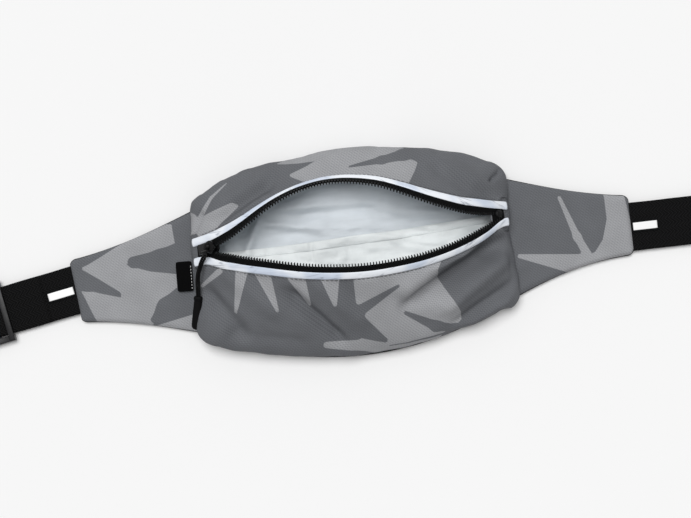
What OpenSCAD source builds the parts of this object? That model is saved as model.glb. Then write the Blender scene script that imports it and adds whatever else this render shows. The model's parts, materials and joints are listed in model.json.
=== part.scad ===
// Open waist pack: a zipped pouch on a padded belt with hip wings, webbing and a side-release buckle.
// Millimetres, +Z up. The origin is the middle of the back panel's outer face. +X runs along the belt.

/* [Pouch] */
// Length of the pouch between its end walls
pouch_len = 250; // [230:1:270]
// Height of the pouch at its middle
pouch_h = 164; // [150:1:175]
// How far the top and bottom edges fall back towards the ends
edge_fall = 26; // [20:1:32]
// Radius of the pouch's four plan corners
corner_r = 12; // [8:1:16]
// Thickness of the padded back panel
back_t = 6; // [4:0.5:8]
// Thickness of the printed outer fabric with its backing
shell_t = 1.6; // [1.2:0.1:2.0]
// Thickness of the lining fabric
lining_t = 0.6; // [0.5:0.1:0.8]

/* [Zipper] */
// Half of the straight distance between the two ends of the zipper
zip_half = 118; // [114:1:120]
// Rise of the closed zipper's arc above the line between its ends
zip_rise = 45; // [38:1:48]
// Height of that line above the back face
zip_z = 30; // [28:1:32]
// Its place across the pouch
zip_y = 17; // [14:1:20]
// Lean of the closed zipper towards the top edge
closed_lean = 9.5; // [6:0.5:12]
// Turn of each lip from closed to open
lip_open = 43.5; // [36:0.5:44]
// Travel of the slider along the arc
slider_travel = 76; // [74:0.5:76]
// Pitch of the teeth
tooth_pitch = 2.28; // [2:0.02:2.6]
// Width of the woven tape beside the teeth
tape_w = 5.9; // [5:0.1:6.5]
// Width of the reflective piping
piping_w = 6; // [5:0.1:6.2]

/* [Wings] */
// Distance from the middle of the pouch to the end of a wing
wing_reach = 221; // [205:1:230]
// Thickness of a wing's mesh pad
pad_t = 4.2; // [3.5:0.1:4.2]
// Thickness of a wing with its printed cover
wing_t = 8.5; // [7.5:0.1:9.5]

/* [Belt] */
// Width of the webbing
web_w = 38; // [25:1:38]
// Thickness of the webbing
web_t = 1.2; // [1:0.1:1.2]
// Distance from the left wing to the buckle socket's bar
socket_dist = 218; // [180:1:260]
// Distance from the left wing to the middle of the strap adjuster
adjuster_dist = 70; // [64:1:90]
// Distance from the right wing to the buckle plug's bar
plug_dist = 74; // [70:1:110]
// Angle of the left strap below the line of the belt
left_strap_angle = 10; // [0:1:12]

/* [Hidden] */

grey = "#68696c";
pale_grey = "#9b9c9e";
black = "#1d1d1f";
silver = "#c9cbce";
satin = "#b4b6b8";

clear = 0.4;                       // gap between neighbouring soft solids
mid_y = 2;                         // the pouch's plan is symmetric about this line
half_len = pouch_len / 2;
half_h = pouch_h / 2;
corner_x = half_len - corner_r;    // where the corner rounding starts
end_h = half_h - edge_fall;        // half height at the start of the corner
wall_h = end_h - corner_r;         // half height of the straight end wall
seam_in = 2.5;                     // the pouch bulges this far past its back seam
seam_z = back_t + clear;
patch_low = 6;                     // the end patches span this part of the end wall
patch_high = 28;

zip_r = (zip_half ^ 2 + zip_rise ^ 2) / (2 * zip_rise);
arc_drop = zip_r - zip_rise;       // from the line between the zipper's ends to its arc's centre
strip_half = 36.5;                 // each lip's strips stop this many degrees from the middle
edge_gap = 1.3;                    // from the closed plane to the teeth
tooth_w = 2.1;
tape_in = edge_gap + tooth_w;
piping_in = tape_in + tape_w;
piping_out = piping_in + piping_w;
panel_in = piping_out + 0.8;
slider_len = 16;
slider_w = 10;
slider_gap = 2.1;                  // half of the space between the slider's two plates
plate_t = 1.3;
pin_y = -3.4;                      // the bail's pin, beside the middle of the slider
pin_z = slider_gap + plate_t + 1.9;

wing_root = half_len + 0.8;
wing_top = [49, 20.5];             // upper edge at the root and at the end
wing_low = [-47, -24.5];
web_mid = (2 * pad_t + web_t) / 2; // height of the webbing's own middle
fold_r = 2.05;                     // webbing's middle line around a buckle bar
bar_r = fold_r - web_t / 2 - 0.25;
bar_z = web_mid - fold_r;
strap_gap = [4.6, 1.6];            // between the left and right wing's end and the strap
strap_y = -2;                      // middle of the wing's end

// ---- plan outline ----

// Half height of the plan at a distance x from the middle
function edge_at(x) =
    abs(x) <= corner_x
        ? half_h - edge_fall * (x / corner_x) ^ 2
        : wall_h + corner_r * sqrt(max(0, 1 - ((abs(x) - corner_x) / corner_r) ^ 2));

// The plan's outline, drawn in towards the middle, as one closed list of points
function outline(inset) =
    let (
        shrink_x = (half_len - inset) / half_len,
        shrink_y = (half_h - inset) / half_h,
        xs = concat(
            [for (i = [0:6]) corner_x + corner_r * cos(15 * i)],
            [for (i = [1:17]) corner_x * (1 - i / 9)],
            [for (i = [0:6]) -corner_x - corner_r * sin(15 * i)]
        )
    )
    concat(
        [for (x = xs) [shrink_x * x, mid_y + shrink_y * edge_at(x)]],
        [for (i = [len(xs) - 1:-1:0]) [shrink_x * xs[i], mid_y - shrink_y * edge_at(xs[i])]]
    );

// ---- the pouch's walls as surfaces ----

// Lengths along the seam: half of the long edge, the corner, and the end wall up to its patch
edge_len = corner_x * 1.02;
turn_len = corner_r * 1.57;
function wall_len(side) = side < 0 ? wall_h + patch_low - mid_y : wall_h - patch_high + mid_y;

// A point on the back seam and its outward direction: side -1 is the front panel, +1 the top panel
function seam_at(side, u) =
    let (
        total = edge_len + turn_len + wall_len(side),
        s = abs(u) * total,
        sign_x = u < 0 ? -1 : 1,
        turn = min(90, max(0, (s - edge_len) / turn_len * 90)),
        x_edge = min(s, edge_len) / edge_len * corner_x,
        climb = max(0, s - edge_len - turn_len),
        x = x_edge + corner_r * sin(turn),
        y = s <= edge_len
            ? half_h - edge_fall * (x_edge / corner_x) ^ 2
            : wall_h + corner_r * cos(turn) - climb,
        lean = s <= edge_len ? 22 * x_edge / corner_x : 22 + 68 * turn / 90,
        out = [sign_x * sin(lean), side * cos(lean), 0]
    )
    [[sign_x * x, mid_y + side * y, seam_z] - seam_in * out, out];

// A point of a lip at its open angle, t millimetres out from the teeth line
function lip_lean(side) = closed_lean + side * lip_open;
function lip_at(side, u, t) =
    let (
        x = zip_half * u,
        rise = sqrt(zip_r ^ 2 - x ^ 2) - arc_drop,
        a = lip_lean(side)
    )
    [x, zip_y + rise * sin(a) + side * t * cos(a), zip_z + rise * cos(a) - side * t * sin(a)];

// The outer surface of a wall: v = 0 at the back seam, v = 1 beside the piping
function wall_at(side, u, v) =
    let (
        base = seam_at(side, u),
        p0 = base[0],
        p3 = lip_at(side, u, panel_in),
        a = lip_lean(side),
        span = norm(p3 - p0),
        p1 = p0 + 0.12 * span * base[1] + [0, 0, 0.28 * span],
        p2 = p3 + 0.33 * span * [0, side * cos(a), -side * sin(a)]
    )
    (1 - v) ^ 3 * p0 + 3 * (1 - v) ^ 2 * v * p1 + 3 * (1 - v) * v ^ 2 * p2 + v ^ 3 * p3;

// The wall's inward normal
function wall_in(side, u, v) =
    let (
        step = 0.01,
        du = wall_at(side, min(1, u + step), v) - wall_at(side, max(-1, u - step), v),
        dv = wall_at(side, u, min(1, v + step)) - wall_at(side, u, max(0, v - step)),
        n = side * cross(du, dv)
    )
    n / norm(n);

// Closed sheet between two depths under a wall's outer surface, over a range of v
module wall_sheet(side, depth, thick, v_low, v_high, across = 40, up = 8) {
    row = across + 1;
    layer = row * (up + 1);
    grid = [for (d = [depth, depth + thick]) for (j = [0:up]) for (i = [0:across])
        let (u = -1 + 2 * i / across, v = v_low + (v_high - v_low) * j / up)
        wall_at(side, u, v) + d * wall_in(side, u, v)];
    at = function (k, j, i) k * layer + j * row + i;
    quads = concat(
        [for (j = [0:up - 1]) for (i = [0:across - 1])
            [at(0, j, i), at(0, j, i + 1), at(0, j + 1, i + 1), at(0, j + 1, i)]],
        [for (j = [0:up - 1]) for (i = [0:across - 1])
            [at(1, j + 1, i), at(1, j + 1, i + 1), at(1, j, i + 1), at(1, j, i)]],
        [for (i = [0:across - 1]) [at(1, 0, i), at(1, 0, i + 1), at(0, 0, i + 1), at(0, 0, i)]],
        [for (i = [0:across - 1]) [at(0, up, i), at(0, up, i + 1), at(1, up, i + 1), at(1, up, i)]],
        [for (j = [0:up - 1]) [at(0, j, 0), at(0, j + 1, 0), at(1, j + 1, 0), at(1, j, 0)]],
        [for (j = [0:up - 1])
            [at(1, j, across), at(1, j + 1, across), at(0, j + 1, across), at(0, j, across)]]
    );
    // seen from outside, triangles run clockwise
    faces = [for (q = quads) each side < 0
        ? [[q[0], q[2], q[1]], [q[0], q[3], q[2]]]
        : [[q[0], q[1], q[2]], [q[0], q[2], q[3]]]];
    polyhedron(grid, faces, convexity = 6);
}

module back_panel() {
    color(black) linear_extrude(back_t) polygon(outline(seam_in));
}

module front_panel() {
    color(grey) wall_sheet(-1, 0, shell_t, 0, 1);
}

module top_panel() {
    color(grey) wall_sheet(1, 0, shell_t, 0, 1);
}

module front_lining() {
    color(satin) wall_sheet(-1, shell_t + clear, lining_t, 0.1, 0.98);
}

module top_lining() {
    color(satin) wall_sheet(1, shell_t + clear, lining_t, 0.1, 0.98);
}

module back_lining() {
    color(satin) translate([0, 0, back_t]) linear_extrude(lining_t) polygon(outline(11));
}

// Flat pocket on the back wall, open along its hem
pocket_floor = back_t + lining_t + 1;
pocket_top = 20;
hem_w = 9;

module pocket_plan(low, high) {
    intersection() {
        polygon(outline(15));
        translate([-half_len, low]) square([pouch_len, high - low]);
    }
}

module inner_pocket() {
    color(satin) translate([0, 0, pocket_floor]) linear_extrude(0.8) pocket_plan(-half_h, pocket_top - hem_w);
}

module pocket_hem() {
    color(satin) translate([0, 0, pocket_floor]) linear_extrude(1.6) pocket_plan(pocket_top - hem_w, pocket_top);
}

// Fabric patch that closes an end wall, from the back seam up to the end of the zipper
module end_patch(side) {
    foot_y = (patch_low + patch_high) / 2;
    foot_w = patch_high - patch_low - 2 * clear;
    color(pale_grey) hull() {
        translate([side * (half_len - seam_in - shell_t), foot_y - foot_w / 2, seam_z])
            mirror([side < 0 ? 1 : 0, 0, 0]) cube([shell_t, foot_w, 0.1]);
        translate([side * (half_len - 1.5 - shell_t), foot_y - foot_w / 2 + 1, 14])
            mirror([side < 0 ? 1 : 0, 0, 0]) cube([shell_t, foot_w - 3, 0.1]);
        translate([side * (zip_half - 0.4), zip_y - 5, zip_z - 5.5])
            mirror([side < 0 ? 1 : 0, 0, 0]) cube([shell_t, 10, 0.1]);
    }
}

module left_end_patch() { end_patch(-1); }
module right_end_patch() { end_patch(1); }

// Woven label sewn into the front panel's left end: blank
module side_label() {
    label_w = 12.5;
    label_l = 23.5;
    label_t = 0.7;
    color(black) translate([-half_len - 8, -1, wing_t + 1.2])
        rotate([0, 0, -2]) translate([-label_w / 2, -label_l / 2, 0]) cube([label_w, label_l, label_t]);
}

// ---- zipper ----

// Children drawn in the closed plane's frame: x along, y square to the plane, z up, origin at the arc's centre
module arc_frame() {
    translate([0, zip_y, zip_z]) rotate([-closed_lean, 0, 0]) translate([0, 0, -arc_drop]) children();
}

// A lip's frame, turned open about the line between the zipper's ends
module lip_frame(side) {
    translate([0, zip_y, zip_z]) rotate([-lip_lean(side), 0, 0]) translate([0, 0, -arc_drop])
        mirror([0, side < 0 ? 1 : 0, 0]) children();
}

// A strip bent round the arc, from t_in to t_out beside the closed plane
module arc_strip(t_in, t_out, low, high) {
    rotate([-90, 0, 0]) rotate([0, 0, -90 - strip_half]) rotate_extrude(angle = 2 * strip_half, $fn = 180)
        translate([zip_r + low, t_in]) square([high - low, t_out - t_in]);
}

module zip_tape(side) {
    color(black) lip_frame(side) arc_strip(tape_in, piping_in, -0.4, 0.4);
}

module piping(side) {
    color(silver) lip_frame(side) arc_strip(piping_in, piping_out, -0.5, 0.9);
}

module zip_teeth(side) {
    count = floor(2 * strip_half * PI / 180 * zip_r / tooth_pitch);
    step = tooth_pitch / zip_r * 180 / PI;
    shift = side < 0 ? 0.25 : -0.25;
    color(black) lip_frame(side)
        for (i = [0:count - 1])
            rotate([0, (i - (count - 1) / 2 + shift) * step, 0])
                translate([-0.8, edge_gap, zip_r - 1.1]) cube([1.6, tooth_w, 2.2]);
}

module upper_zip_tape() { zip_tape(1); }
module lower_zip_tape() { zip_tape(-1); }
module upper_piping() { piping(1); }
module lower_piping() { piping(-1); }
module upper_zip_teeth() { zip_teeth(1); }
module lower_zip_teeth() { zip_teeth(-1); }

module zip_stop(side) {
    color(black) arc_frame() rotate([0, side * 41, 0])
        translate([-2, -3, zip_r - 1.1]) cube([4.6, 6, 2.2]);
}

module left_zip_stop() { zip_stop(-1); }
module right_zip_stop() { zip_stop(1); }

// The slider's own frame: x along its travel, z out from the pouch, at its place beside the left end
module slider_frame() {
    arc_frame() rotate([0, -slider_travel / 2, 0]) translate([0, 0, zip_r]) children();
}

// Plate with one broad round nose and one square tail
module slider_plate() {
    linear_extrude(plate_t) {
        translate([-slider_len / 2, -slider_w / 2 + 1]) square([slider_len / 2 + 3, slider_w - 2]);
        translate([3, 0]) circle(r = slider_w / 2, $fn = 48);
    }
}

module zip_slider() {
    ear_x = 3;
    color(black) slider_frame() {
        translate([0, 0, slider_gap]) slider_plate();
        translate([0, 0, -slider_gap - plate_t]) slider_plate();
        translate([3.5, -0.95, -slider_gap - 0.2]) cube([3, 1.9, 2 * slider_gap + 0.4]);
        for (x = [-ear_x - 1.2, ear_x])
            translate([x, pin_y - 1.1, slider_gap + plate_t - 0.2]) cube([1.2, 2.2, pin_z - slider_gap - plate_t + 1.3]);
        translate([-ear_x - 0.6, pin_y, pin_z]) rotate([0, 90, 0]) cylinder(r = 0.7, h = 2 * ear_x + 1.2, $fn = 24);
    }
}

// Round boss in the middle of the slider's upper plate
module slider_cap() {
    color(black) slider_frame() translate([0.6, 1.1, slider_gap + plate_t]) {
        cylinder(r = 3, h = 1, $fn = 48);
        cylinder(r = 2.3, h = 1.8, $fn = 48);
    }
}

// ---- puller ----

// The cord runs from the bail over the zipper's lower tape and down the pouch's end to the grip
cord_route = [
    [-113.4, 11.6, 41.9], [-115.4, 8.6, 41.1], [-117.6, 4.2, 39], [-119.8, -0.7, 36],
    [-121, -5.4, 32.4], [-121.8, -10, 28.6], [-122.7, -17.4, 24.2]
];
grip_top = [-122.8, -17.4, 24];
grip_end = [-127.4, -43.4, 16.2];
cord_r = 1.7;

// A tube of 8 sides along a list of points
module tube(route, radius) {
    sides = 8;
    last = len(route) - 1;
    rings = [for (i = [0:last])
        let (
            dir = route[min(i + 1, last)] - route[max(i - 1, 0)],
            side_dir = cross(dir, [0, 0, 1]) / norm(cross(dir, [0, 0, 1])),
            up_dir = cross(side_dir, dir) / norm(dir)
        )
        [for (k = [0:sides - 1]) route[i] + radius * (cos(k * 45) * side_dir + sin(k * 45) * up_dir)]];
    points = [for (ring = rings) each ring];
    walls = [for (i = [0:last - 1]) for (k = [0:sides - 1])
        let (n = (k + 1) % sides)
        each [[i * sides + k, i * sides + n, (i + 1) * sides + n], [i * sides + k, (i + 1) * sides + n, (i + 1) * sides + k]]];
    caps = [[for (k = [sides - 1:-1:0]) k], [for (k = [0:sides - 1]) last * sides + k]];
    polyhedron(points, concat(walls, caps), convexity = 4);
}

module pull_bail() {
    color(black) slider_frame() translate([0, pin_y, pin_z]) {
        difference() {
            union() {
                translate([-2.6, 0, 0]) rotate([0, 90, 0]) cylinder(r = 1.5, h = 5.2, $fn = 32);
                translate([-2.6, -4.4, -0.7]) cube([5.2, 3.6, 1.4]);
            }
            translate([-3, 0, 0]) rotate([0, 90, 0]) cylinder(r = 0.78, h = 6, $fn = 32);
            translate([-1.3, -3.4, -1]) cube([2.6, 1.6, 2]);
        }
    }
}

module pull_cord() {
    color(black) tube(cord_route, cord_r);
}

// Moulded grip, a little wider at its rounded end
module pull_grip() {
    color(black) hull() {
        translate(grip_top + [0, -1.4, 0]) scale([1, 1, 0.5]) sphere(r = 3.6, $fn = 24);
        translate(grip_end + [0, 4.4, 0.4]) scale([1, 1, 0.5]) sphere(r = 4.5, $fn = 24);
    }
}

// ---- wings ----

// Upper and lower edges of a wing at s = 0, the root, to s = 1, the end
function wing_high_at(s) = wing_top[1] + (wing_top[0] - wing_top[1]) * (1 - s);
function wing_low_at(s) = wing_low[1] + (wing_low[0] - wing_low[1]) * max(0, 1 - s) ^ 1.4;

function wing_outline(inset) =
    let (
        long = wing_reach - wing_root,
        steps = 12,
        nose = 4,
        x_at = function (s) wing_root + s * (long - inset),
        cut = function (s) nose * (s > 0.94 ? 1 - sqrt(max(0, 1 - ((s - 0.94) / 0.06) ^ 2)) : 0),
        ss = concat([for (i = [0:steps]) 0.94 * i / steps], [for (i = [1:5]) 0.94 + 0.06 * sin(18 * i)])
    )
    concat(
        [for (s = ss) [x_at(s), wing_low_at(s) + inset + cut(s)]],
        [for (i = [len(ss) - 1:-1:0]) [x_at(ss[i]), wing_high_at(ss[i]) - inset - cut(ss[i])]]
    );

anchor_len = 28;
anchor_in = 6;

module anchor_plan(side) {
    // the anchor lies along its own strap
    angle = side < 0 ? left_strap_angle : 0;
    translate([wing_reach, strap_y]) rotate([0, 0, -angle])
        translate([-anchor_in - anchor_len, -web_w / 2]) square([anchor_len, web_w]);
}

module wing_side(side) {
    mirror([side < 0 ? 1 : 0, 0, 0]) children();
}

module wing_pad(side) {
    color(black) wing_side(side) linear_extrude(pad_t) polygon(wing_outline(0));
}

module wing_cover(side) {
    color(pale_grey) wing_side(side) difference() {
        translate([0, 0, pad_t]) linear_extrude(wing_t - pad_t) polygon(wing_outline(1.5));
        translate([0, 0, pad_t - 1]) linear_extrude(web_t + 1) anchor_plan(side);
    }
}

module web_anchor(side) {
    color(black) wing_side(side) translate([0, 0, pad_t]) linear_extrude(web_t) anchor_plan(side);
}

module left_wing_pad() { wing_pad(-1); }
module left_wing_cover() { wing_cover(-1); }
module left_web_anchor() { web_anchor(-1); }
module right_wing_pad() { wing_pad(1); }
module right_wing_cover() { wing_cover(1); }
module right_web_anchor() { web_anchor(1); }

// ---- straps ----

// A strap's frame: x along the strap from the wing's end, z from the ground
module left_strap_frame() {
    translate([-wing_reach, strap_y, 0]) rotate([0, 0, 180 + left_strap_angle]) children();
}

module right_strap_frame() {
    translate([wing_reach, strap_y, 0]) children();
}

// Webbing seen from its edge: a flat run at a height z
module web_run(from, to, z) {
    translate([from, -web_w / 2, z - web_t / 2]) cube([to - from, web_w, web_t]);
}

// Half turn of webbing round a buckle's bar
module web_turn(at) {
    translate([at, -web_w / 2, bar_z]) rotate([-90, 0, 0]) intersection() {
        difference() {
            cylinder(r = fold_r + web_t / 2, h = web_w, $fn = 48);
            translate([0, 0, -1]) cylinder(r = fold_r - web_t / 2, h = web_w + 2, $fn = 48);
        }
        translate([0, -4, -1]) cube([8, 8, web_w + 2]);
    }
}

module left_strap() {
    color(black) left_strap_frame() web_run(strap_gap[0], socket_dist - 1, web_mid);
}

// The end that comes back from the socket's bar to the adjuster
module loop_strap() {
    color(black) left_strap_frame() {
        web_run(adjuster_dist + 6, socket_dist, web_mid - 2 * fold_r);
        web_turn(socket_dist);
        web_run(socket_dist - 0.6, socket_dist, web_mid);
    }
}

module right_strap() {
    sewn_end = 46;
    color(black) right_strap_frame() {
        web_run(strap_gap[1], plug_dist, web_mid);
        web_turn(plug_dist);
        web_run(plug_dist - sewn_end, plug_dist, web_mid - 2 * fold_r);
    }
}

tag_from = [4.8, 3.4];             // from the left and right wing's end to the tag
tag_l = 17.2;
tag_w = 9.5;
tag_t = 0.6;

module strap_tape(start) {
    color(black) translate([start, -tag_w / 2, web_mid + web_t / 2]) cube([tag_l, tag_w, tag_t]);
}

module strap_reflector(start) {
    edge = 1.8;
    color(silver) translate([start, -tag_w / 2 + edge, web_mid + web_t / 2 + tag_t])
        cube([tag_l - 1.2, tag_w - 2 * edge, 0.25]);
}

module left_strap_tape() { left_strap_frame() strap_tape(tag_from[0]); }
module left_strap_reflector() { left_strap_frame() strap_reflector(tag_from[0]); }
module right_strap_tape() { right_strap_frame() strap_tape(tag_from[1]); }
module right_strap_reflector() { right_strap_frame() strap_reflector(tag_from[1]); }

// Three-bar slide: the webbing runs over the low middle bar and under the two high outer bars
module strap_adjuster() {
    slide_l = 30;
    slide_w = web_w + 11;
    rail = 4.8;
    outer_bar = 4.4;
    low = bar_z - 1.15;
    high = web_mid + web_t / 2 + 0.3;
    color(black) left_strap_frame() translate([adjuster_dist, 0, 0]) {
        for (y = [-slide_w / 2, slide_w / 2 - rail])
            translate([-slide_l / 2, y, low + 0.8]) cube([slide_l, rail, high - low + 0.6]);
        for (x = [-slide_l / 2, slide_l / 2 - outer_bar])
            translate([x, -slide_w / 2 + 1, high]) cube([outer_bar, slide_w - 2, 2.3]);
        translate([-3, -slide_w / 2 + 1, low]) cube([6, slide_w - 2, 2.3]);
    }
}

// ---- buckle ----

buckle_w = web_w + 10;
rail_w = 4;
body_x = fold_r + web_t / 2 + 1;   // from the bar's middle to the buckle's body
buckle_t = 11;

// Rectangle from x0 to x1 with its two far corners rounded
module tongue_plan(x0, x1, w, r) {
    translate([x0, -w / 2]) square([x1 - x0 - r, w]);
    translate([x1 - r - 0.01, -w / 2 + r]) square([r + 0.01, w - 2 * r]);
    for (y = [-w / 2 + r, w / 2 - r]) translate([x1 - r, y]) circle(r = r, $fn = 32);
}

// Side rails and the bar that the webbing turns round
module buckle_bar() {
    for (y = [-buckle_w / 2, buckle_w / 2 - rail_w])
        translate([0, y, bar_z - 1.6]) cube([body_x + 2, rail_w, 5.2]);
    translate([0, -buckle_w / 2, bar_z]) rotate([-90, 0, 0]) cylinder(r = bar_r, h = buckle_w, $fn = 32);
}

module buckle_socket() {
    body_l = 42;
    wall = 2;
    mouth_w = 37;
    color(black) left_strap_frame() translate([socket_dist, 0, 0]) {
        buckle_bar();
        difference() {
            translate([body_x, 0, 0]) linear_extrude(buckle_t) tongue_plan(0, body_l, buckle_w, 5);
            // chamber for the plug, open at its mouth
            translate([body_x + 6, -mouth_w / 2, wall]) cube([body_l, mouth_w, buckle_t - 2 * wall]);
            // windows for the two prongs
            for (y = [-buckle_w / 2 - 1, mouth_w / 2 - 1])
                translate([body_x + 8, y, wall]) cube([15, buckle_w / 2 - mouth_w / 2 + 2, buckle_t - 2 * wall]);
        }
    }
}

prong_x = 15;                      // the prongs' roots, from the plug's bar
prong_y = 10.5;
prong_r = 2.6;
plug_z = 3.2;
plug_t = 4.6;

module buckle_plug() {
    base_l = 12;
    color(black) right_strap_frame() translate([plug_dist, 0, 0]) {
        buckle_bar();
        difference() {
            union() {
                translate([body_x, -buckle_w / 2, 0]) cube([base_l, buckle_w, buckle_t]);
                // guide tongue between the prongs
                translate([body_x + base_l - 1, 0, plug_z]) linear_extrude(plug_t) tongue_plan(0, 26, 9, 3);
            }
            for (y = [-prong_y, prong_y])
                translate([prong_x, y, -1]) cylinder(r = prong_r + 0.3, h = buckle_t + 2, $fn = 40);
        }
    }
}

// Springy arm with an outward barb, drawn from its root
module prong_plan() {
    circle(r = prong_r, $fn = 40);
    polygon([
        [0, -2.2], [24, 0.5], [30, 3], [32, 6.2], [29, 8], [22, 10.5],
        [15, 10.8], [14, 9.4], [15.5, 6], [12, 3.4], [0, 2.4]
    ]);
}

module prong(side) {
    color(black) right_strap_frame() translate([plug_dist + prong_x, side * prong_y, plug_z])
        linear_extrude(plug_t) mirror([0, side < 0 ? 1 : 0, 0]) prong_plan();
}

module front_prong() { prong(-1); }
module rear_prong() { prong(1); }

back_panel();
front_panel();
top_panel();
left_end_patch();
right_end_patch();
back_lining();
front_lining();
top_lining();
inner_pocket();
pocket_hem();
side_label();
left_zip_stop();
right_zip_stop();
upper_zip_tape();
upper_zip_teeth();
upper_piping();
lower_zip_tape();
lower_zip_teeth();
lower_piping();
zip_slider();
slider_cap();
pull_bail();
pull_cord();
pull_grip();
left_wing_cover();
left_wing_pad();
left_web_anchor();
right_wing_cover();
right_wing_pad();
right_web_anchor();
left_strap();
left_strap_tape();
left_strap_reflector();
loop_strap();
strap_adjuster();
buckle_socket();
right_strap();
right_strap_tape();
right_strap_reflector();
buckle_plug();
front_prong();
rear_prong();
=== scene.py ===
"""The looks of an open waist pack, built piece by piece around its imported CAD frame.

Points and sizes are worked out in millimetres in the frame's own axes; make() turns them into metres.
A lip is the part of the pouch's mouth on one side of the zipper: side +1 is the upper lip and the top
panel, side -1 is the lower lip and the front panel.
"""
import json
import math

import bmesh
import bpy
import numpy as np
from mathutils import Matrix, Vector


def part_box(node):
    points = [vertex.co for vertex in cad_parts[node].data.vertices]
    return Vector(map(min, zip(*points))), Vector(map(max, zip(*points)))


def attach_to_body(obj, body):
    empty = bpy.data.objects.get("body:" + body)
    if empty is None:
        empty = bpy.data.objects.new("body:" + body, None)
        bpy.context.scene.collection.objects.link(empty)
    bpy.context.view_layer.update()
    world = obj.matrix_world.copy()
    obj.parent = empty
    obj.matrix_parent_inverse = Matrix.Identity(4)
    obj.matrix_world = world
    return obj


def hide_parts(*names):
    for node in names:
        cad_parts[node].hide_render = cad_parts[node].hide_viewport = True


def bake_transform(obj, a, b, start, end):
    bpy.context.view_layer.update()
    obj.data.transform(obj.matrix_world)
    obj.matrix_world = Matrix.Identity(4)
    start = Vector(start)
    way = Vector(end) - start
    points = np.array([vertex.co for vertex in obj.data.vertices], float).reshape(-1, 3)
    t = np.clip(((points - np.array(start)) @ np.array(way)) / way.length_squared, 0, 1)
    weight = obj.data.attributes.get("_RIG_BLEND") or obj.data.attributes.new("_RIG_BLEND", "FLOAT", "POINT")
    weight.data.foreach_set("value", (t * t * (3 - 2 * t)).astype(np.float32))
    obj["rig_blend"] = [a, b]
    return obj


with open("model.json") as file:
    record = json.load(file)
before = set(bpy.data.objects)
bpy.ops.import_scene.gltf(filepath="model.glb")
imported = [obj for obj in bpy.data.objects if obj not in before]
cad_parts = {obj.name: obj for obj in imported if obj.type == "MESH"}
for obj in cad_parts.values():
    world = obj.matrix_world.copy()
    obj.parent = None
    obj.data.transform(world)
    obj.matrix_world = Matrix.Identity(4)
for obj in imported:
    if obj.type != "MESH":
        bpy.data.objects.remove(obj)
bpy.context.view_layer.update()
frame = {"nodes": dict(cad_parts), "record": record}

MM = 0.001
JOINTS = {joint["name"]: joint for joint in frame["record"]["behaviour"]["joints"]}


# ---- sizes taken from the frame, in millimetres ----

def place_of(joint):
    """A joint's place in millimetres."""
    return np.array(JOINTS[joint]["pos_m"]) / MM


def box_of(node):
    """A CAD node's lowest and highest corners in millimetres."""
    low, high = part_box(node)
    return np.array(low) / MM, np.array(high) / MM


seam_in = 2.5                                  # the pouch bulges this far past its back seam
back_low, back_high = box_of("back_panel")
half_len = back_high[0] + seam_in
half_h = (back_high[1] - back_low[1]) / 2 + seam_in
mid_y = (back_high[1] + back_low[1]) / 2
back_t = back_high[2]
corner_r = 12.0
edge_fall = 26.0
corner_x = half_len - corner_r
wall_h = half_h - edge_fall - corner_r         # half height of the straight end wall
seam_z = back_t + 0.4

lip_axis = place_of("upper_lip_turn")          # the line between the zipper's two ends
arc_centre = place_of("slider_travel")
lip_open = math.radians(JOINTS["upper_lip_turn"]["range_deg"][1])
zip_half = 118.0
arc_drop = float(np.hypot(*(arc_centre - lip_axis)[1:]))
zip_r = math.hypot(zip_half, arc_drop)
closed_lean = math.atan2(lip_axis[1] - arc_centre[1], lip_axis[2] - arc_centre[2])

tape_edge = 1.3                                # from the closed line to the tape
piping_in = 6.2
piping_out = 11.8
panel_in = 12.5
tooth_pitch = 2.28

wing_high = box_of("right_wing_pad")[1]
wing_root = box_of("right_wing_pad")[0][0]
wing_reach = wing_high[0]
pad_t = wing_high[2]
wing_t = box_of("right_wing_cover")[1][2]
wing_top = {-1: (49.0, 21.5), 1: (47.5, 22.8)}  # upper edge at the root and at the end
wing_low = {-1: (-47.0, -27.6), 1: (-47.0, -23.6)}
wing_tilt = {-1: 0.10, 1: 0.0}

web_w = 38.0
web_t = 1.2
strap_y = place_of("right_belt_bend")[1]
web_mid = place_of("right_belt_bend")[2]
strap_angle = {-1: math.radians(190), 1: 0.0}
fold_r = web_mid - place_of("plug_swivel")[2]
socket_dist = float(np.hypot(*(place_of("socket_swivel")[:2] - [-wing_reach, strap_y])))
plug_dist = place_of("plug_swivel")[0] - wing_reach


# ---- small numeric helpers ----

def smooth(t):
    """0 below 0, 1 above 1, and a soft step between."""
    t = np.clip(t, 0, 1)
    return t * t * (3 - 2 * t)


def hill(x, centre, width):
    return np.exp(-(((x - centre) / width) ** 2))


def noise(x, y, seed=0):
    """Smooth noise from -1 to 1 with one lattice cell per unit."""
    x, y = np.broadcast_arrays(np.asarray(x, float), np.asarray(y, float))
    column, row = np.floor(x).astype(np.int64), np.floor(y).astype(np.int64)
    fx, fy = smooth(x - column), smooth(y - row)

    def lattice(i, j):
        h = (i * 374761393 + j * 668265263 + seed * 982451653) & 0x7FFFFFFF
        h = ((h ^ (h >> 13)) * 1274126177) & 0x7FFFFFFF
        return (h ^ (h >> 15)) / 0x3FFFFFFF - 1

    low = lattice(column, row) * (1 - fx) + lattice(column + 1, row) * fx
    high = lattice(column, row + 1) * (1 - fx) + lattice(column + 1, row + 1) * fx
    return low * (1 - fy) + high * fy


def layered(x, y, seed=0, layers=3):
    """Noise with finer layers added."""
    return sum(noise(x * 2 ** k, y * 2 ** k, seed + 17 * k) / 2 ** k for k in range(layers))


def crease(field, width):
    """A thin line of 1 along the places where the field passes through 0."""
    return np.exp(-((field / width) ** 2))


def stack(x, y, z):
    return np.stack(np.broadcast_arrays(x, y, z), -1).astype(float)


def unit(v):
    return v / np.maximum(np.linalg.norm(v, axis=-1, keepdims=True), 1e-9)


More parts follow.
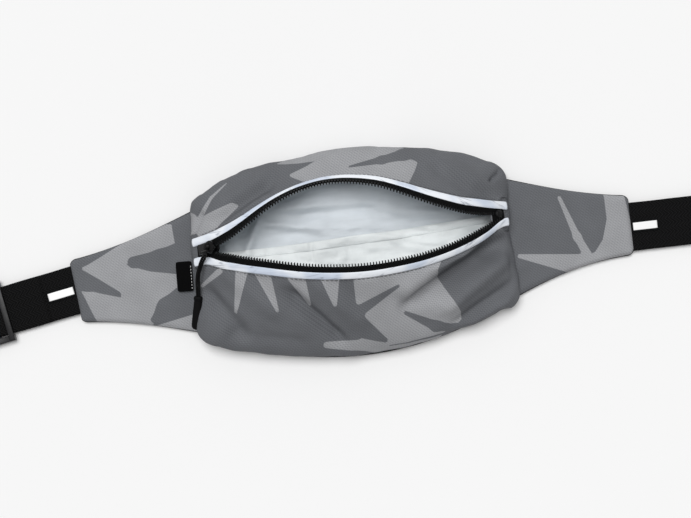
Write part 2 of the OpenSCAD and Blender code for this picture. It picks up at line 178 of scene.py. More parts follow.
def normals(grid):
    """Unit normals of a grid of points, rows by columns."""
    return unit(np.cross(np.gradient(grid, axis=1), np.gradient(grid, axis=0)))


def fold(x, y, start, end, width, depth):
    """Depth of a soft groove (negative) or ridge (positive) that runs from start to end in plan."""
    start, end = np.array(start, float), np.array(end, float)
    run = end - start
    length = np.linalg.norm(run)
    along = ((x - start[0]) * run[0] + (y - start[1]) * run[1]) / length ** 2
    across = ((x - start[0]) * run[1] - (y - start[1]) * run[0]) / length
    ends = smooth((along + 0.12) / 0.3) * smooth((1.12 - along) / 0.3)
    return depth * ends * np.exp(-((across / width) ** 2))


# ---- mesh helpers ----

def make(name, points, faces, body=None, slot=None, material=None, smooth_faces=True):
    """A mesh object from points in millimetres."""
    mesh = bpy.data.meshes.new(name)
    mesh.from_pydata((np.asarray(points, float) * MM).tolist(), [], [list(map(int, f)) for f in faces])
    tidy = bmesh.new()
    tidy.from_mesh(mesh)
    bmesh.ops.recalc_face_normals(tidy, faces=tidy.faces)
    tidy.to_mesh(mesh)
    tidy.free()
    mesh.polygons.foreach_set("use_smooth", [smooth_faces] * len(mesh.polygons))
    piece = bpy.data.objects.new(name, mesh)
    bpy.context.scene.collection.objects.link(piece)
    if material:
        mesh.materials.append(material)
    if body:
        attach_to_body(piece, body)
    return piece


def attach(piece, name, values, kind="FLOAT"):
    """Stores a number or a vector on every vertex, for the material to read."""
    attribute = piece.data.attributes.get(name) or piece.data.attributes.new(name, kind, "POINT")
    field = "value" if kind == "FLOAT" else "vector"
    attribute.data.foreach_set(field, np.asarray(values, np.float32).ravel())


def bend(piece, near, far, weights, start=(0, 0, 0), end=(0, 0, 1)):
    """Blends a piece between two bodies, with its own share of the motion for every vertex."""
    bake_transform(piece, near, far, start=start, end=end)
    attach(piece, "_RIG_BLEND", weights)


def grid_faces(rows, columns, first=0, wrap=False):
    """Quads of a grid of points; wrap joins the last column to the first."""
    faces = []
    for j in range(rows - 1):
        for i in range(columns if wrap else columns - 1):
            n = (i + 1) % columns
            faces.append([first + j * columns + i, first + j * columns + n,
                          first + (j + 1) * columns + n, first + (j + 1) * columns + i])
    return faces


def shell(outer, inner):
    """Points and faces of a closed sheet between two grids of points."""
    rows, columns = outer.shape[:2]
    layer = rows * columns
    faces = grid_faces(rows, columns) + grid_faces(rows, columns, layer)
    rim = [i for i in range(columns)]
    rim += [j * columns + columns - 1 for j in range(1, rows)]
    rim += [(rows - 1) * columns + i for i in range(columns - 2, -1, -1)]
    rim += [j * columns for j in range(rows - 2, 0, -1)]
    for a, b in zip(rim, rim[1:] + rim[:1]):
        faces.append([a, b, layer + b, layer + a])
    return np.concatenate([outer.reshape(-1, 3), inner.reshape(-1, 3)]), faces


def both(values):
    """Values of a grid, repeated for the two layers of its shell."""
    flat = values.reshape(-1, values.shape[2]) if values.ndim == 3 else values.ravel()
    return np.concatenate([flat, flat])


def run_frames(path, closed=False, up=(0, 0, 1)):
    """Directions along a path, to its side and up from it, at each of its points."""
    if closed:
        along = unit(np.roll(path, -1, 0) - np.roll(path, 1, 0))
    else:
        along = unit(np.gradient(path, axis=0))
    side = unit(np.cross(along, np.broadcast_to(np.array(up, float), path.shape)))
    return along, side, np.cross(side, along)


def sweep(path, profile, closed=False, up=(0, 0, 1)):
    """Points and faces of a profile carried along a path. A profile is one outline, or one per point."""
    path = np.asarray(path, float)
    side, rise = run_frames(path, closed, up)[1:]
    profile = np.asarray(profile, float)
    if profile.ndim == 2:
        profile = np.broadcast_to(profile, (len(path),) + profile.shape)
    rings = path[:, None] + profile[..., :1] * side[:, None] + profile[..., 1:] * rise[:, None]
    count, sides = rings.shape[:2]
    faces = grid_faces(count, sides, wrap=True)
    if closed:
        last = (count - 1) * sides
        faces += [[last + i, last + (i + 1) % sides, (i + 1) % sides, i] for i in range(sides)]
    else:
        faces += [list(range(sides)), list(range((count - 1) * sides, count * sides))]
    return rings.reshape(-1, 3), faces


def oval(wide, high, sides=12, power=1.0):
    """A rounded outline; a power below 1 makes it squarer."""
    a = np.arange(sides) * 2 * np.pi / sides
    c, s = np.cos(a), np.sin(a)
    return np.stack([wide * np.sign(c) * abs(c) ** power, high * np.sign(s) * abs(s) ** power], -1)


def joined(parts):
    """Several (points, faces) pairs as one."""
    points, faces, first = [], [], 0
    for more, quads in parts:
        points.append(more)
        faces += [[first + i for i in q] for q in quads]
        first += len(more)
    return np.concatenate(points), faces


def stitch_row(path, length=2.2, gap=1.0, radius=0.28, up=(0, 0, 1)):
    """Short rounded threads along a path of points."""
    steps = np.linalg.norm(np.diff(path, axis=0), axis=1)
    reach = np.concatenate([[0], np.cumsum(steps)])
    parts = []
    for k in range(int(reach[-1] / (length + gap))):
        s = k * (length + gap) + gap / 2 + length * np.array([0.0, 0.12, 0.5, 0.88, 1.0])
        line = np.stack([np.interp(s, reach, path[:, c]) for c in range(3)], -1)
        size = radius * np.array([0.35, 0.85, 1.0, 0.85, 0.35])
        profile = oval(1, 0.8, 6)[None] * size[:, None, None]
        parts.append(sweep(line, profile, up=up))
    return parts


# ---- camera, lights and floor ----

def add_camera():
    camera = bpy.data.cameras.new("camera")
    camera.sensor_width = 36
    camera.lens = 79.1
    viewer = bpy.data.objects.new("camera", camera)
    viewer.location = (-0.0062, -0.0017, 1.2)
    viewer.rotation_euler = (0, 0, math.radians(-6.5))
    bpy.context.scene.collection.objects.link(viewer)
    bpy.context.scene.camera = viewer


def add_softbox(name, came_from, spread, strength):
    """A broad distant light, so that the floor is lit evenly."""
    light = bpy.data.lights.new(name, "SUN")
    light.angle = math.radians(spread)
    light.energy = strength
    lamp = bpy.data.objects.new(name, light)
    lamp.rotation_mode = "QUATERNION"
    lamp.rotation_quaternion = Vector(came_from).to_track_quat("Z", "Y")
    bpy.context.scene.collection.objects.link(lamp)


def add_studio():
    world = bpy.data.worlds.new("studio")
    world.use_nodes = True
    sky = world.node_tree.nodes["Background"]
    sky.inputs["Color"].default_value = (1, 1, 1, 1)
    sky.inputs["Strength"].default_value = 0.33
    bpy.context.scene.world = world
    add_softbox("softbox", (-0.1, 0.27, 0.95), 34, 2.25)
    bpy.context.scene.view_settings.view_transform = "Standard"
    reach = 6000.0
    corners = [[-reach, -reach, -0.3], [reach, -reach, -0.3], [reach, reach, -0.3], [-reach, reach, -0.3]]
    floor = make("floor", corners, [[0, 1, 2, 3]], material=floor_material())


# ---- materials ----

class Shader:
    """A material's nodes, with short calls for the ones that this script uses."""

    def __init__(self, name, roughness, **sockets):
        self.material = bpy.data.materials.new(name)
        self.material.use_nodes = True
        self.tree = self.material.node_tree
        self.surface = self.tree.nodes["Principled BSDF"]
        self.surface.inputs["Roughness"].default_value = roughness
        for socket, value in sockets.items():
            self.surface.inputs[socket.replace("_", " ")].default_value = value

    def put(self, socket, value):
        if isinstance(value, bpy.types.NodeSocket):
            self.tree.links.new(value, socket)
        else:
            socket.default_value = value

    def node(self, kind, values=(), **settings):
        made = self.tree.nodes.new(kind)
        for key, value in settings.items():
            setattr(made, key, value)
        for index, value in enumerate(values):
            if value is not None:
                self.put(made.inputs[index], value)
        return made

    def math(self, operation, *values):
        return self.node("ShaderNodeMath", values, operation=operation).outputs[0]

    def read(self, name):
        """A vertex attribute: its number and its vector."""
        found = self.node("ShaderNodeAttribute", attribute_name=name)
        return found.outputs["Fac"], found.outputs["Vector"]

    def place(self, name):
        """The x and y of a vector attribute, in millimetres."""
        split = self.node("ShaderNodeSeparateXYZ", [self.read(name)[1]])
        return split.outputs[0], split.outputs[1]

    def position(self):
        """The point itself, in millimetres."""
        found = self.node("ShaderNodeTexCoord").outputs["Object"]
        return self.node("ShaderNodeVectorMath", [found, (1000, 1000, 1000)], operation="MULTIPLY").outputs[0]

    def noise(self, vector, size, detail=2.0):
        """Noise from 0 to 1 with features of about that size, in the vector's own units."""
        made = self.node("ShaderNodeTexNoise")
        self.put(made.inputs["Vector"], vector)
        made.inputs["Scale"].default_value = 1 / size
        made.inputs["Detail"].default_value = detail
        return made.outputs["Fac"]

    def wave(self, value, pitch):
        """A sine of a length, once per pitch."""
        return self.math("SINE", self.math("MULTIPLY", value, 2 * math.pi / pitch))

    def ramp(self, value, low, high, out_low=0.0, out_high=1.0):
        made = self.node("ShaderNodeMapRange", [value, low, high, out_low, out_high])
        made.interpolation_type = "SMOOTHSTEP"
        return made.outputs[0]

    def mix(self, share, first, second, blend="MIX"):
        made = self.node("ShaderNodeMix", data_type="RGBA", blend_type=blend)
        self.put(made.inputs["Factor"], share)
        self.put(made.inputs[6], first)
        self.put(made.inputs[7], second)
        return made.outputs[2]

    def tint(self, colour, brightness):
        """A colour made lighter or darker by a factor."""
        made = self.node("ShaderNodeVectorMath", operation="SCALE")
        self.put(made.inputs[0], colour if isinstance(colour, bpy.types.NodeSocket) else colour[:3])
        self.put(made.inputs["Scale"], brightness)
        return made.outputs[0]

    def finish(self, colour, height=None, depth_mm=0.1, roughness=None):
        self.put(self.surface.inputs["Base Color"], colour)
        if roughness is not None:
            self.put(self.surface.inputs["Roughness"], roughness)
        if height is not None:
            made = self.node("ShaderNodeBump")
            made.inputs["Strength"].default_value = 1.0
            made.inputs["Distance"].default_value = depth_mm * MM
            self.put(made.inputs["Height"], height)
            self.put(self.surface.inputs["Normal"], made.outputs[0])
        return self.material


def grey(red, green=None, blue=None):
    """A colour from its screen values, 0 to 255."""
    values = [red, red if green is None else green, red if blue is None else blue]
    return [((v / 255 + 0.055) / 1.055) ** 2.4 if v > 10 else v / 255 / 12.92 for v in values] + [1.0]


def floor_material():
    look = Shader("floor_paper", 0.9)
    shade = look.noise(look.position(), 400)
    return look.finish(look.mix(shade, grey(245), grey(246)))


def crossed(look, x, y, pitch):
    """Threads along both diagonals."""
    rising = look.wave(look.math("ADD", x, y), pitch)
    return look.math("MULTIPLY", rising, look.wave(look.math("SUBTRACT", x, y), pitch))


def woven(look, x, y, twill=2.5, thread=0.62):
    """A diagonal twill over plain threads: its height from -1 to 1."""
    rising = look.wave(look.math("ADD", x, y), twill)
    falling = look.wave(look.math("SUBTRACT", x, y), twill)
    diagonal = look.math("MULTIPLY", rising, falling)
    threads = look.math("MULTIPLY", look.wave(x, thread), look.wave(y, thread))
    coarse = look.math("ADD", look.math("MULTIPLY", rising, 0.35), look.math("MULTIPLY", diagonal, 0.65))
    return coarse, threads


def printed_fabric(printed=True):
    """Polyester oxford with a two-tone print."""
    look = Shader("printed_fabric" if printed else "plain_fabric", 0.75, Specular_IOR_Level=0.25)
    x, y = look.place("cloth")
    coarse, threads = woven(look, x, y)
    dark, light = grey(103, 105, 109), grey(158, 159, 162)
    colour = dark
    if printed:
        colour = look.mix(look.ramp(look.read("print")[0], -0.25, 0.25), dark, light)
    patches = look.noise(look.read("cloth")[1], 22, 3)
    cloudy = look.ramp(patches, 0.2, 0.8, 0.93, 1.05)
    brightness = look.math("ADD", look.math("MULTIPLY", coarse, 0.3), cloudy)
    brightness = look.math("ADD", brightness, look.math("MULTIPLY", threads, 0.05))
    height = look.math("ADD", look.math("MULTIPLY", coarse, 0.5), look.math("MULTIPLY", threads, 0.5))
    return look.finish(look.tint(colour, brightness), height, 0.12)


def satin_lining(name, tone):
    """Thin satin with soft clouds and fine lengthwise streaks."""
    look = Shader(name, 0.42, Specular_IOR_Level=0.4)
    place = look.position()
    cloud = look.noise(place, 26, 3)
    stretched = look.node("ShaderNodeVectorMath", [place, (0.16, 1.0, 1.0)], operation="MULTIPLY").outputs[0]
    streak = look.noise(stretched, 5, 3)
    split = look.node("ShaderNodeSeparateXYZ", [place])
    threads = look.math("MULTIPLY", look.wave(split.outputs[0], 0.5), look.wave(split.outputs[1], 0.5))
    cloudy = look.ramp(cloud, 0.25, 0.75, 0.9, 1.04)
    brightness = look.math("ADD", cloudy, look.ramp(streak, 0.3, 0.7, -0.03, 0.03))
    height = look.math("ADD", look.math("MULTIPLY", threads, 0.1), look.math("MULTIPLY", streak, 1.4))
    return look.finish(look.tint(grey(*tone), brightness), height, 0.35)


def reflective(name, creased=True):
    """White glass-bead film; on the piping it has soft slanting creases, with painted bluish shade in soft
    patches and painted shade along the creases.
    """
    look = Shader(name, 0.36, Coat_Weight=0.2, Coat_Roughness=0.3)
    beads = look.noise(look.position(), 0.35, 1)
    if not creased:
        return look.finish(look.mix(beads, grey(238), grey(247)), beads, 0.04)
    x, y = look.place("cloth")
    along = look.math("ADD", look.math("MULTIPLY", x, 0.055), look.math("MULTIPLY", y, 0.16))
    slanted = look.node("ShaderNodeCombineXYZ", [along, look.math("MULTIPLY", y, 0.05), 0.0]).outputs[0]
    field = look.noise(slanted, 1.0, 3)
    line = look.ramp(look.math("ABSOLUTE", look.math("SUBTRACT", field, 0.5)), 0.0, 0.02, 1.0, 0.0)
    sparse = look.ramp(look.noise(look.read("cloth")[1], 17, 1), 0.5, 0.62)
    line = look.math("MULTIPLY", line, sparse)
    # painted bluish shade: soft patches of the film are tinted grey-blue
    painted_blue_shade = look.ramp(look.noise(look.read("cloth")[1], 30, 2), 0.42, 0.62)
    colour = look.mix(painted_blue_shade, grey(240, 244, 250), grey(206, 216, 232))
    # painted shade: the film is darkened along its creases, which the bump also dents
    colour = look.mix(look.math("MULTIPLY", line, 0.7), colour, grey(150, 157, 172))
    height = look.math("SUBTRACT", look.math("MULTIPLY", beads, 0.2), line)
    return look.finish(colour, height, 0.25)


def tape_fabric(name, tone, pitch=1.1, roughness=0.8):
    """Narrow woven tape with ribs across it."""
    look = Shader(name, roughness, Specular_IOR_Level=0.1)
    x, y = look.place("cloth")
    ribs = crossed(look, x, y, pitch)
    brightness = look.math("ADD", look.math("MULTIPLY", ribs, 0.22), 1.0)
    return look.finish(look.tint(grey(*tone), brightness), ribs, 0.15)


def webbing():
    """Black polyester webbing: a herringbone of slanting ribs in lengthwise columns, with a painted highlight
    on the rib tops.
    """
    look = Shader("webbing", 0.7, Specular_IOR_Level=0.12)
    x, y = look.place("cloth")
    column = look.math("PINGPONG", y, 3.6)
    rib = look.wave(look.math("ADD", x, look.math("MULTIPLY", column, 1.15)), 2.7)
    fine = look.math("MULTIPLY", look.wave(x, 1.8), look.wave(y, 1.8))
    edge = look.ramp(look.math("ABSOLUTE", y), web_w / 2 - 2.4, web_w / 2 - 1.6)
    height = look.math("ADD", look.math("MULTIPLY", rib, 0.6), look.math("MULTIPLY", fine, 0.4))
    # the herringbone is the webbing's own; brightening the rib tops up to 6.5 times is a painted highlight
    shade = look.ramp(height, 0.1, 0.9, 0.7, 6.5)
    shade = look.math("SUBTRACT", shade, look.math("MULTIPLY", edge, 0.25))
    return look.finish(look.tint(grey(6, 6, 6.5), shade), height, 0.32)


def mesh_padding():
    """Spacer mesh: staggered small holes in a dark knit."""
    look = Shader("mesh_pad", 0.85, Specular_IOR_Level=0.2)
    x, y = look.place("cloth")
    rows = look.math("MULTIPLY", look.wave(look.math("ADD", x, look.math("MULTIPLY", y, 0.58)), 2.6),
                     look.wave(look.math("SUBTRACT", x, look.math("MULTIPLY", y, 0.58)), 2.6))
    hole = look.ramp(rows, 0.25, 0.7)
    colour = look.mix(hole, grey(38, 38, 41), grey(10, 10, 11))
    return look.finish(colour, look.math("MULTIPLY", hole, -1.0), 0.5)


def moulded(name, tone, roughness, grain=0.6, depth=0.03, gloss=0.3):
    """Moulded plastic or enamel with a fine grain and slightly worn highlights."""
    look = Shader(name, roughness, Specular_IOR_Level=gloss)
    fine = look.noise(look.position(), grain, 2)
    wear = look.noise(look.position(), 7, 3)
    brightness = look.ramp(wear, 0.3, 0.75, 0.85, 1.25)
    worn = look.ramp(wear, 0.3, 0.8, roughness - 0.05, roughness + 0.08)
    return look.finish(look.tint(grey(*tone), brightness), fine, depth, worn)


def braided(name, tone):
    """Round braid: two sets of strands that cross."""
    look = Shader(name, 0.7, Specular_IOR_Level=0.15)
    x, y = look.place("cloth")
    strands = crossed(look, x, y, 1.0)
    shade = look.math("ADD", look.math("MULTIPLY", strands, 0.3), 1.0)
    return look.finish(look.tint(grey(*tone), shade), strands, 0.2)


def thread_material(name, tone):
    look = Shader(name, 0.6, Sheen_Weight=0.1)
    twist = look.noise(look.position(), 0.5, 1)
    return look.finish(look.tint(grey(*tone), look.ramp(twist, 0.2, 0.8, 0.8, 1.15)), twist, 0.1)


# ---- the two-tone print ----

def finger(x, y, start, end, near, far):
    """Distance to a tapered stroke with round ends: negative inside it."""
    start, end = np.array(start, float), np.array(end, float)
    run = end - start
    share = np.clip(((x - start[0]) * run[0] + (y - start[1]) * run[1]) / (run @ run), 0, 1)
    away = np.hypot(x - start[0] - share * run[0], y - start[1] - share * run[1])
    return away - (near + (far - near) * share)


def patch(x, y, corners, rounding=0.0):
    """Distance to a polygon, grown by its rounding: negative inside it."""
    corners = np.array(corners, float)
    nearest = np.full(x.shape, 1e9)
    inside = np.zeros(x.shape, bool)
    for a, b in zip(corners, np.roll(corners, -1, 0)):
        run = b - a
        share = np.clip(((x - a[0]) * run[0] + (y - a[1]) * run[1]) / (run @ run), 0, 1)
        nearest = np.minimum(nearest, np.hypot(x - a[0] - share * run[0], y - a[1] - share * run[1]))
        crosses = (a[1] > y) != (b[1] > y)
        with np.errstate(divide="ignore", invalid="ignore"):
            meets = a[0] + (y - a[1]) * run[0] / np.where(run[1] == 0, 1e-9, run[1])
        inside ^= crosses & (x < meets)
    return np.where(inside, -nearest, nearest) - rounding


def united(shapes, blend=4.0):
    """Union of distances with softly filled inner corners."""
    result = shapes[0]
    for more in shapes[1:]:
        share = np.clip(0.5 + 0.5 * (more - result) / blend, 0, 1)
        result = more * (1 - share) + result * share - blend * share * (1 - share)
    return result


def limb(x, y, points, widths, blend):
    """Fingers joined end to end, with a half width at each point."""
    parts = zip(points, points[1:], widths, widths[1:])
    return united([finger(x, y, start, end, near, far) for start, end, near, far in parts], blend)


def front_print(x, y):
    """The print on the front panel: above 0 in the light tone."""
    light = -patch(x, y, [(-3, 0), (71, 0), (66, -8), (61, -17), (61, -24), (66, -34), (76, -52), (77, -59),
                          (73, -63), (66, -63), (60, -78), (10, -82), (-2, -60)], 1.5)
    slivers = [
        ((-119, -10), (-103, 0), 1.2, 2.4),
        ((-85, 0), (-94.5, -33), 5.0, 1.2),
        ((-71, 0), (-62, -35), 6.6, 1.2),
        ((-48, 0), (-37, -33), 9.2, 1.0),
        ((-20, -2), (-18, -35), 10.5, 1.6),
    ]
    for start, end, near, far in slivers:
        light = np.maximum(light, -finger(x, y, start, end, near, far))
    star = united([
        finger(x, y, (-10, -46), (-5, -4), 8.0, 3.0), finger(x, y, (-2, -43), (31, -26.5), 4.5, 1.2),
        finger(x, y, (-8, -50), (17, -67.5), 11.0, 2.2), finger(x, y, (-22, -52), (-60, -62), 10.0, 12.0),
    ], 4.0)
    light = np.minimum(light, star)
    tail = limb(x, y, [(35, -48), (58, -61.5), (84, -70)], [1.5, 4.2, 4.6], 3.0)
    light = np.minimum(light, tail)
    light = np.minimum(light, finger(x, y, (8, -75), (66, -72), 0.6, 1.6))
    bay = limb(x, y, [(-28, -66), (0, -70), (12, -76)], [2.6, 5.0, 8.0], 3.0)
    light = np.maximum(light, -bay)
    return np.minimum(light, finger(x, y, (-40, -78), (-12, -76), 6.0, 2.0))


def top_print(x, y):
    """The print on the top panel: above 0 in the light tone."""
    light = -patch(x, y, [(-128, 27), (-128, 48), (-119, 45), (-116, 41), (-88, 50), (-84, 48), (-97, 38),
                          (-106, 30)], 1.0)
    bow = limb(x, y, [(-114, 43), (-104, 57), (-91, 67)], [2.2, 1.2, 0.4], 1.0)
    light = np.maximum(light, -bow)
    light = np.maximum(light, -patch(x, y, [(-50, 79), (-16, 78), (46, 77), (46, 110), (-30, 110)], 1.0))
    blob = patch(x, y, [(-40, 67), (-27, 72), (-16, 78), (47, 78), (50, 68), (55, 65), (52, 59), (46, 50),
                        (-20, 56)], 1.5)
    light = np.maximum(light, -blob)
    arm = limb(x, y, [(72, 75), (47, 73), (30, 70.6), (5, 68.4)], [6.5, 4.5, 3.0, 0.8], 3.0)
    return np.minimum(light, arm)


def left_wing_print(x, y):
    """The print on the left wing: above 0 in the light tone."""
    light = -united([
        patch(x, y, [(-211, 14), (-196, 21), (-172, 33), (-150, 41), (-140, 40), (-139, 26), (-180, 14),
                     (-180, -10)], 1.0),
        patch(x, y, [(-211, 14), (-186, 15), (-160, 5), (-137, 0), (-136, -8), (-155, -27), (-163, -34),
                     (-163, -60), (-204, -60), (-206, -30), (-214, -6), (-214, -3), (-200, -8), (-184, -13),
                     (-182, -4)], 1.0),
    ], 2.0)
    spike = limb(x, y, [(-226, 6), (-210, 1), (-186, -9)], [9.5, 4.4, 1.4], 4.0)
    edge = finger(x, y, (-221, -2), (-206, -34), 5.0, 2.2)
    tongue = limb(x, y, [(-120, 16), (-150, 14.5), (-172, 14.5)], [15.0, 7.5, 4.6], 4.0)
    wedge = limb(x, y, [(-126, -14), (-150, -24), (-161, -32)], [12.0, 7.5, 2.6], 4.0)
    light = np.minimum(np.minimum(light, spike), np.minimum(edge, tongue))
    light = np.minimum(light, wedge)
    corner = -patch(x, y, [(-219, -24), (-211, -34), (-219, -34)], 0.5)
    foot = -patch(x, y, [(-160, -38), (-128, -32), (-128, -60), (-160, -60)], 1.0)
    return np.maximum(np.maximum(light, corner), foot)


def right_wing_print(x, y):
    """The print on the right wing: above 0 in the light tone."""
    light = -united([
        finger(x, y, (166, 27), (176.5, -5), 1.4, 2.8), finger(x, y, (176.5, -5), (184, -22), 2.8, 3.5),
        finger(x, y, (130, -15), (180, -28), 1.6, 9.0),
    ], 3.0)
    broad = patch(x, y, [(202, 30), (212, 30), (216, 22), (219, 2), (219, -14), (224, -16), (214, -40),
                         (170, -40), (178, -24), (190, -19), (197, -10), (202, 6)], 1.0)
    light = np.maximum(light, -broad)
    valley = limb(x, y, [(190, 26), (190, -4), (189, -16)], [11.0, 6.0, 1.4], 3.0)
    return np.minimum(light, valley)


# ---- the pouch's shape ----

# Places along each lip, then how far it opens there. The frame doesn't give these values. Another script
# fitted them to the lips' curves in the photo. They were then thinned, rounded and changed near the ends.
openings = {
    1: ((-1.03, -0.93, -0.84, -0.70, -0.56, -0.42, -0.28, -0.18, -0.07, 0.07, 0.21, 0.35, 0.49, 0.63, 0.77,
         0.88, 1.04),
        (0.0, 0.0, 0.13, 0.45, 0.80, 1.06, 1.21, 1.25, 1.20, 1.06, 0.89, 0.655, 0.415, 0.205, 0.0,
         -0.09, 0.0)),
    -1: ((-1.03, -0.96, -0.88, -0.77, -0.56, -0.35, -0.14, 0.07, 0.28, 0.49, 0.70, 0.84, 0.93, 0.985, 1.04),
         (0.0, 0.15, 0.52, 0.655, 0.77, 0.875, 0.945, 1.0, 1.03, 1.07, 1.09, 1.09, 1.1, 0.8, 0.4)),
}


def lip_weight(side, u):
    """How far each place along a lip opens, 1 being the lip's own turn."""
    knots, values = (np.array(row) for row in openings[side])
    slope = np.gradient(values, knots)
    i = np.clip(np.searchsorted(knots, u) - 1, 0, len(knots) - 2)
    span = knots[i + 1] - knots[i]
    f = np.clip((u - knots[i]) / span, 0, 1)
    rise = values[i + 1] - values[i]
    bow = (slope[i] * span - rise) * (1 - f) - (slope[i + 1] * span - rise) * f
    return values[i] + rise * f + f * (1 - f) * bow


def lip_point(side, u, t, lift=0.0):
    """A point t outward from the closed line and lift above the zipper, with the mouth open."""
    u, t, lift = np.asarray(u, float), np.asarray(t, float), np.asarray(lift, float)
    x = zip_half * u
    slope = x / zip_r
    rise = np.sqrt(zip_r ** 2 - x ** 2) - arc_drop + lift * np.sqrt(1 - slope ** 2)
    narrow = 1 - np.where(u < 0, 0.23, 0.36) * smooth((np.abs(u) - 0.8) / 0.2)
    t = np.minimum(t, piping_in) * narrow + np.maximum(t - piping_in, 0)
    across = rise * math.sin(closed_lean) + (1 + u) + side * t * math.cos(closed_lean)
    up = rise * math.cos(closed_lean) - side * t * math.sin(closed_lean)
    turn = side * lip_open * lip_weight(side, u)
    return stack(x + lift * slope, lip_axis[1] + across * np.cos(turn) + up * np.sin(turn),
                 lip_axis[2] - across * np.sin(turn) + up * np.cos(turn))


patch_low, patch_high = 6.0, 28.0              # the end patches' share of the end wall, at its foot
edge_len = corner_x * 1.02
turn_len = corner_r * 1.57


def seam_point(side, u):
    """A point of the back seam and its outward direction."""
    wall_len = wall_h + patch_low - mid_y if side < 0 else wall_h - patch_high + mid_y
    s = np.abs(u) * (edge_len + turn_len + wall_len)
    way = np.where(u < 0, -1.0, 1.0)
    turn = np.clip((s - edge_len) / turn_len, 0, 1) * np.pi / 2
    along = np.minimum(s, edge_len) / edge_len
    climb = np.maximum(0, s - edge_len - turn_len)
    x = along * corner_x + corner_r * np.sin(turn)
    y = np.where(s <= edge_len, half_h - edge_fall * along ** 2, wall_h + corner_r * np.cos(turn) - climb)
    lean = np.radians(np.where(s <= edge_len, 22 * along, 22 + 68 * turn / (np.pi / 2)))
    out = stack(way * np.sin(lean), side * np.cos(lean), 0)
    return stack(way * x, mid_y + side * y, seam_z) - seam_in * out, out


def panel_edge(side, u):
    """Where a panel's folded edge lies over the piping."""
    if side < 0:
        return panel_in - 0.3 * hill(u, 0.3, 0.5)
    return panel_in - 2.4 * hill(u, -0.48, 0.25) - 1.3 * hill(u, 0.25, 0.45)


def wall_point(side, u, v):
    """The outer surface of a wall: v is 0 at the back seam and 1 beside the piping."""
    u, v = np.broadcast_arrays(np.asarray(u, float), np.asarray(v, float))
    base, out = seam_point(side, u)
    edge = panel_edge(side, u)
    lip = lip_point(side, u, edge, -0.5)
    inner = lip_point(side, u, edge - 1, -0.5)
    away = unit(lip - inner)
    span = np.linalg.norm(lip - base, axis=-1, keepdims=True)
    if side < 0:
        extra = 17 * hill(u, -0.68, 0.22) - 9 * hill(u, 0.0, 0.4) + 9 * hill(u, 0.72, 0.2)
    else:
        extra = 5 + 12 * hill(u, -0.55, 0.2) + 10 * hill(u, 0.66, 0.17) - 7 * hill(u, -0.86, 0.08)
    low = base + (0.13 * span + extra[..., None]) * out + stack(0, 0, 0.28) * span
    high = lip + 0.33 * span * away
    v = v[..., None]
    return (1 - v) ** 3 * base + 3 * (1 - v) ** 2 * v * low + 3 * (1 - v) * v ** 2 * high + v ** 3 * lip


def unfolded(points, out):
    """Plan coordinates of a wall's cloth as it would lie if its steep foot were laid flat."""
    drop = np.maximum(0, 22 - points[..., 2:3])
    return points[..., :2] + 0.8 * drop * out[..., :2]


def folds(x, y, lines):
    """Several folds together, each with its start, end, width and depth."""
    return sum(fold(x, y, *line) for line in lines)


def front_folds(x, y):
    return folds(x, y, (
        ((114, -3), (36, -44), 5.5, -8.4),
        ((120, -14), (60, -50), 7, 5.4),
        ((90, 2), (30, -32), 7, 3.8),
        ((124, -33), (70, -63), 4.5, -3.2),
        ((120, -46), (84, -64), 4, 1.6),
        ((-118, -12), (-90, -54), 7, -5.0),
        ((-98, -2), (-60, -40), 7, 2.4),
        ((-54, -20), (-14, -66), 5, -5.6),
        ((-34, -16), (4, -52), 7, 3.4),
        ((20, -30), (52, -66), 8, -2.0),
        ((-104, -50), (-40, -62), 5, -1.4),
    ))


def top_folds(x, y):
    return folds(x, y, (
        ((-108, 42), (-58, 72), 5, 2.6),
        ((-100, 38), (-54, 64), 4, -2.8),
        ((-94, 34), (-56, 55), 4, 1.8),
        ((111, 45), (122, 54), 1.2, -3.2),
        ((112, 28), (66, 62), 7, -2.6),
        ((104, 44), (60, 72), 6, 1.6),
        ((-123, 30), (-112, 47), 2.2, -2.6),
    ))


def wall_grid(side, columns=190, rows=66, foot=0.0):
    """The finished outer surface of a wall, with its folds, and the grid's own coordinates."""
    u, v = np.meshgrid(np.linspace(-1, 1, columns), np.linspace(foot, 1, rows))
    plain = wall_point(side, u, v)
    out = seam_point(side, u)[1]
    flat = unfolded(plain, out)
    x, y = flat[..., 0], flat[..., 1]
    depth = front_folds(x, y) if side < 0 else top_folds(x, y)
    slant = layered((x + y) / 26, (x - y) / 60, 3 if side < 0 else 8)
    depth = depth + 0.9 * slant
    puckers = noise(x / 5.5, v * 1.5, 21) * hill(v, 1, 0.07) + noise(x / 4.5, v, 22) * hill(v, 0, 0.05)
    depth = depth + 0.45 * puckers
    held = smooth(v / 0.08) * smooth((1.0 - v) / 0.06 + 0.15) * smooth((1 - np.abs(u)) / 0.04 + 0.1)
    points = plain - side * normals(plain) * (1.35 * depth * held)[..., None]
    return points, flat, u, v


def wall_turn(side, u, v):
    """How far each place of a wall turns with its lip.

    When the mouth is closed, the front is a little lower where the puller lies.
    """
    share = smooth(v)
    if side < 0:
        share = share * (1 - 0.58 * hill(u, 0.64, 0.34) * np.sin(np.pi * np.clip(v, 0, 1)))
    return lip_weight(side, u) * share


def build_wall(side, name, node, lip, material):
    points, flat, u, v = wall_grid(side)
    inner = points + side * normals(points) * 1.0
    weights = wall_turn(side, u, v)
    piece = make(name, *shell(points, inner), material=material)
    seen = unfolded(points, seam_point(side, u)[1])
    tone = front_print(seen[..., 0], seen[..., 1]) if side < 0 else top_print(seen[..., 0], seen[..., 1])
    attach(piece, "print", both(tone))
    attach(piece, "cloth", both(np.dstack([flat, np.zeros(u.shape)])), "FLOAT_VECTOR")
    bend(piece, "pack", lip, both(weights))
    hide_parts(node)
    return piece


